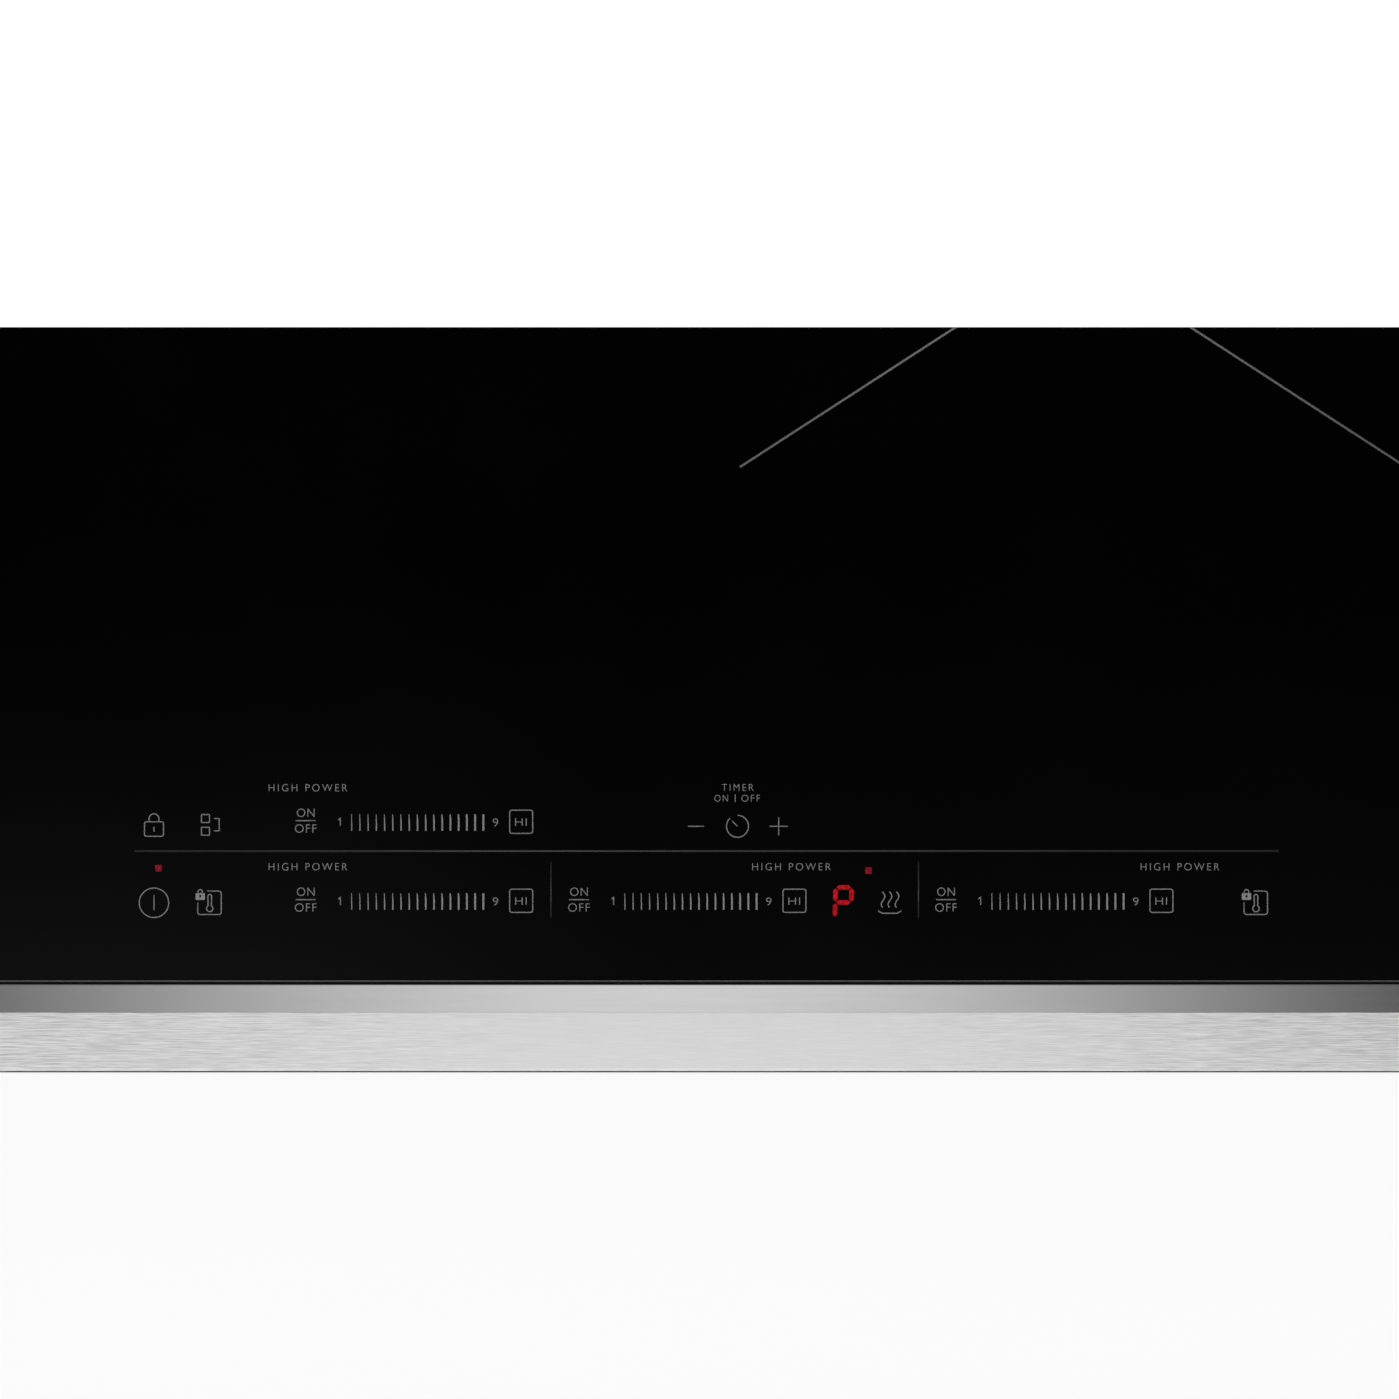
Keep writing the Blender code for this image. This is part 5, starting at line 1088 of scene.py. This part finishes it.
# Terminal block. Moulded polyamide, snapped into the tray's floor. Each of its four ways has a clamp under
# a slotted, zinc-plated screw.
block_low, block_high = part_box("terminal_block")
WAYS = 4
SCREW_SEAT = 10 * MM
way = (block_high.x - block_low.x) / WAYS
terminal_screw = turned("terminal_screw", [(0, -0.5), (3.6, -0.5), (3.6, 2.4), (3.2, 2.9), (0, 3.0)], 28)
cut_away(terminal_screw, block("slot", (-4 * MM, -0.5 * MM, 1.6 * MM), (4 * MM, 0.5 * MM, 4 * MM)))
row = [put(copy_of(terminal_screw, f"terminal_screw_{i}"),
           (block_low.x + (i + 0.5) * way, (block_low.y + block_high.y) / 2, block_high.z - SCREW_SEAT))
       for i in range(WAYS)]
bpy.data.objects.remove(terminal_screw)
pick(*row)
bpy.ops.object.join()
row[0].name = "terminal_screws"
complete(row[0], zinc_plate, smooth=30, slot="zinc_steel")

# Terminal cover. A moulded flap with a raised panel on its face and a finger tab at its lower edge. It
# swings up on a steel pin.
dress(black_plastic, "terminal_cover")
cover_low, cover_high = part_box("terminal_cover")
COVER_SHEET = 1.5 * MM
PANEL_RISE = 1.2 * MM
PANEL_MARGIN = 7 * MM
face_y = cover_low.y + COVER_SHEET
panel = block("cover_raised_panel",
              (cover_low.x + PANEL_MARGIN, face_y - PANEL_RISE / 4, cover_low.z + PANEL_MARGIN),
              (cover_high.x - PANEL_MARGIN, face_y + PANEL_RISE, cover_high.z - 2.2 * PANEL_MARGIN))
bpy.ops.object.mode_set(mode="EDIT")
choose(panel, "EDGE", lambda e: along(e, 1))
bpy.ops.mesh.bevel(offset=4 * MM, segments=6)
choose(panel, "FACE", lambda f: f.normal.y > 0.9)
bpy.ops.mesh.inset(thickness=1.6 * MM)
bpy.ops.transform.translate(value=(0, -PANEL_RISE * 0.7, 0))
choose(panel, "EDGE", lambda e: all(v.co.y > face_y + PANEL_RISE * 0.9 for v in e.verts))
bpy.ops.mesh.bevel(offset=0.35 * MM, segments=2)
bpy.ops.object.mode_set(mode="OBJECT")
complete(panel, black_plastic, body="terminal_flap", slot="black_plastic")
TAB_WIDTH = 22 * MM
middle_x = (cover_low.x + cover_high.x) / 2
tab = block("cover_finger_tab", (middle_x - TAB_WIDTH / 2, face_y - PANEL_RISE / 4, cover_low.z + 0.5 * MM),
            (middle_x + TAB_WIDTH / 2, face_y + 3.2 * MM, cover_low.z + 3.5 * MM))
bpy.ops.object.mode_set(mode="EDIT")
choose(tab, "EDGE", lambda e: all(v.co.y > face_y for v in e.verts) or along(e, 1))
bpy.ops.mesh.bevel(offset=0.9 * MM, segments=4)
bpy.ops.object.mode_set(mode="OBJECT")
complete(tab, black_plastic, body="terminal_flap", slot="black_plastic")

# Conduit gland. Moulded polyamide with an open bore for the mains cable, clamped in the wall by its locknut.
# Ribs round its collar give the fingers a hold.
dress(black_plastic, "conduit_gland", "gland_locknut")
gland_low, gland_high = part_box("conduit_gland")
GLAND_BODY = 11 * MM
GLAND_RIBS = 16
GLAND_RIB_SIZE = (1.6 * MM, 0.9 * MM, 9 * MM)
gland_x, gland_z = (gland_low.x + gland_high.x) / 2, (gland_low.z + gland_high.z) / 2
ribs = []
for i in range(GLAND_RIBS):
    turn = math.tau * i / GLAND_RIBS
    rib = block(f"gland_rib_{i}", (-GLAND_RIB_SIZE[0] / 2, gland_high.y - GLAND_RIB_SIZE[2] - 1 * MM,
                                   GLAND_BODY - 0.3 * MM),
                (GLAND_RIB_SIZE[0] / 2, gland_high.y - 1 * MM, GLAND_BODY + GLAND_RIB_SIZE[1]))
    bpy.ops.object.mode_set(mode="EDIT")
    choose(rib, "EDGE", lambda e: all(v.co.z > GLAND_BODY for v in e.verts))
    bpy.ops.mesh.bevel(offset=0.35 * MM, segments=2)
    bpy.ops.object.mode_set(mode="OBJECT")
    rib.rotation_euler = (0, turn, 0)
    rib.location = (gland_x, 0, gland_z)
    bpy.ops.object.transform_apply(location=True, rotation=True, scale=True)
    ribs.append(rib)
pick(*ribs)
bpy.ops.object.join()
ribs[0].name = "gland_grip_ribs"
complete(ribs[0], black_plastic, slot="black_plastic")
bpy.data.objects.remove(screw)

# Floor. A plain white studio floor of painted board. The eye and mirror-like pieces see it nearly white,
# and it keeps the cooktop's faint shadow.
FLOOR_HALF = 30
FLOOR_GLOW = 0.88
floor = block("studio_floor", (-FLOOR_HALF, -FLOOR_HALF, -0.05), (FLOOR_HALF, FLOOR_HALF, -0.0005))
floor_paint = bpy.data.materials.new("floor_white")
floor_paint.use_nodes = True
tree = floor_paint.node_tree
shader = tree.nodes["Principled BSDF"]
shader.inputs["Base Color"].default_value = linear("f0f0f0")
shader.inputs["Roughness"].default_value = 0.9
glow = add_node(tree, "ShaderNodeEmission", {"Color": (1, 1, 1, 1), "Strength": 1.0})
ray = add_node(tree, "ShaderNodeLightPath")
seen = add_node(tree, "ShaderNodeMath", {0: ray.outputs["Is Camera Ray"], 1: ray.outputs["Is Glossy Ray"]},
                operation="MAXIMUM")
seen = add_node(tree, "ShaderNodeMath", {0: seen.outputs[0], 1: ray.outputs["Is Transmission Ray"]},
                operation="MAXIMUM")
share = add_node(tree, "ShaderNodeMath", {0: seen.outputs[0], 1: FLOOR_GLOW}, operation="MULTIPLY")
mixed = add_node(tree, "ShaderNodeMixShader", {
    0: share.outputs[0], 1: shader.outputs["BSDF"], 2: glow.outputs["Emission"]})
tree.links.new(mixed.outputs["Shader"], tree.nodes["Material Output"].inputs["Surface"])
floor.data.materials.append(floor_paint)

# Studio light. The room is pale low down and dark overhead, with a wide soft box in front, a narrower one
# behind, one at each side, and a key lamp at the front left. A dark strip runs along the horizon, so the
# glass stays dark from low angles.
world = bpy.data.worlds.new("studio")
bpy.context.scene.world = world
world.use_nodes = True
tree = world.node_tree
ways = add_node(tree, "ShaderNodeSeparateXYZ", {
    "Vector": add_node(tree, "ShaderNodeTexCoord").outputs["Generated"]})
x, y, z = (ways.outputs[axis] for axis in "XYZ")
tilt = add_node(tree, "ShaderNodeMath", {0: y, 1: z}, operation="ARCTAN2").outputs[0]
wide = add_node(tree, "ShaderNodeMath", {0: x}, operation="ABSOLUTE").outputs[0]
above = add_node(tree, "ShaderNodeMath", {0: z, 1: 0.05}, operation="MAXIMUM").outputs[0]
slope_x = add_node(tree, "ShaderNodeMath", {0: x, 1: above}, operation="DIVIDE").outputs[0]
slope_y = add_node(tree, "ShaderNodeMath", {0: y, 1: above}, operation="DIVIDE").outputs[0]
shifted = add_node(tree, "ShaderNodeMath", {0: x, 1: 0.009}, operation="ADD").outputs[0]
off_middle = add_node(tree, "ShaderNodeMath", {0: shifted}, operation="ABSOLUTE").outputs[0]


def soft_box(*fades, light=1.0):
    """Light of one source. Each fade is a direction, where it starts and ends, and the light's share at both."""
    for direction, start, end, before, after in fades:
        share = add_node(tree, "ShaderNodeMapRange", {
            "Value": direction, "From Min": start, "From Max": end, "To Min": before, "To Max": after},
            interpolation_type="SMOOTHSTEP").outputs["Result"]
        light = add_node(tree, "ShaderNodeMath", {0: light, 1: share}, operation="MULTIPLY").outputs[0]
    return light


near = add_node(tree, "ShaderNodeMapRange", {"Value": slope_y, "From Min": 0.035, "From Max": -0.065})
near = add_node(tree, "ShaderNodeMath", {0: near.outputs["Result"], 1: 2}, operation="POWER").outputs[0]
sources = (
    soft_box((slope_x, -0.10, 0.0, 0.112, 0.050), (z, 0.6, 0.9, 0.0, 1.0), light=near),
    soft_box((tilt, 0.20, 0.28, 0.0, 1.0), (tilt, 0.80, 0.95, 1.0, 0.0), (off_middle, 0.0, 0.198, 1.03, 0.02)),
    soft_box((tilt, -0.17, -0.25, 0.0, 1.0), (tilt, -0.44, -0.54, 1.0, 0.0), (wide, 0.0, 0.52, 5.4, 0.0)),
    soft_box((wide, 0.40, 0.5, 0.0, 1.0), (wide, 0.82, 0.92, 1.0, 0.0), (z, 0.5, 0.62, 0.0, 1.7)),
    soft_box((z, 0.02, 0.5, 1.0, 0.0), (y, -0.5, 0.3, 0.25, 0.6), (z, 0.04, 0.2, 0.3, 1.0)),
)
room = 0.009
for source in sources:
    room = add_node(tree, "ShaderNodeMath", {0: room, 1: source}, operation="ADD").outputs[0]
ray = add_node(tree, "ShaderNodeLightPath")
room = add_node(tree, "ShaderNodeMix", {0: ray.outputs["Is Camera Ray"], 2: room, 3: 1.0}).outputs[0]
tree.links.new(room, tree.nodes["Background"].inputs["Strength"])
tree.nodes["Background"].inputs["Color"].default_value = (1, 1, 1, 1)

key = bpy.data.lights.new("key_soft_box", "AREA")
key.shape = "RECTANGLE"
key.size, key.size_y = 1.6, 1.2
key.energy = 25
key_lamp = bpy.data.objects.new("key_soft_box", key)
key_lamp.location = (-2.2, -2.4, 2.4)
key_lamp.rotation_euler = (-key_lamp.location).to_track_quat("-Z", "Y").to_euler()
bpy.context.scene.collection.objects.link(key_lamp)

# Camera. It looks straight down on the front part of the cooktop from 1.87 m above the glass, through a
# long lens that keeps the edges straight.
HEIGHT = 1.8653
lens = bpy.data.cameras.new("camera")
lens.lens = 120
lens.sensor_width = 36
lens.clip_start = 0.001
lens.clip_end = 100
camera = bpy.data.objects.new("camera", lens)
camera.location = (-0.0026, -0.1236, glass_high.z + HEIGHT)
bpy.context.scene.collection.objects.link(camera)
bpy.context.scene.camera = camera

# Lens card. A small white card just in front of the lens, which masks the rear of the frame. It lights
# nothing, throws no shadow and shows in no other view.
CARD_DISTANCE = 3 * MM
CARD_FROM = 0.534
half_view = lens.sensor_width / 2 / lens.lens * CARD_DISTANCE
card = block("lens_card",
             (camera.location.x - 1.2 * half_view, camera.location.y + CARD_FROM * half_view,
              camera.location.z - CARD_DISTANCE - 0.01 * MM),
             (camera.location.x + 1.2 * half_view, camera.location.y + 1.2 * half_view,
              camera.location.z - CARD_DISTANCE))
card_white = bpy.data.materials.new("card_white")
card_white.use_nodes = True
tree = card_white.node_tree
tree.nodes.remove(tree.nodes["Principled BSDF"])
glow = add_node(tree, "ShaderNodeEmission", {"Color": (1, 1, 1, 1), "Strength": 1.0})
tree.links.new(glow.outputs["Emission"], tree.nodes["Material Output"].inputs["Surface"])
card.data.materials.append(card_white)
card.visible_diffuse = card.visible_glossy = card.visible_shadow = False

bpy.context.scene.view_settings.view_transform = "Standard"
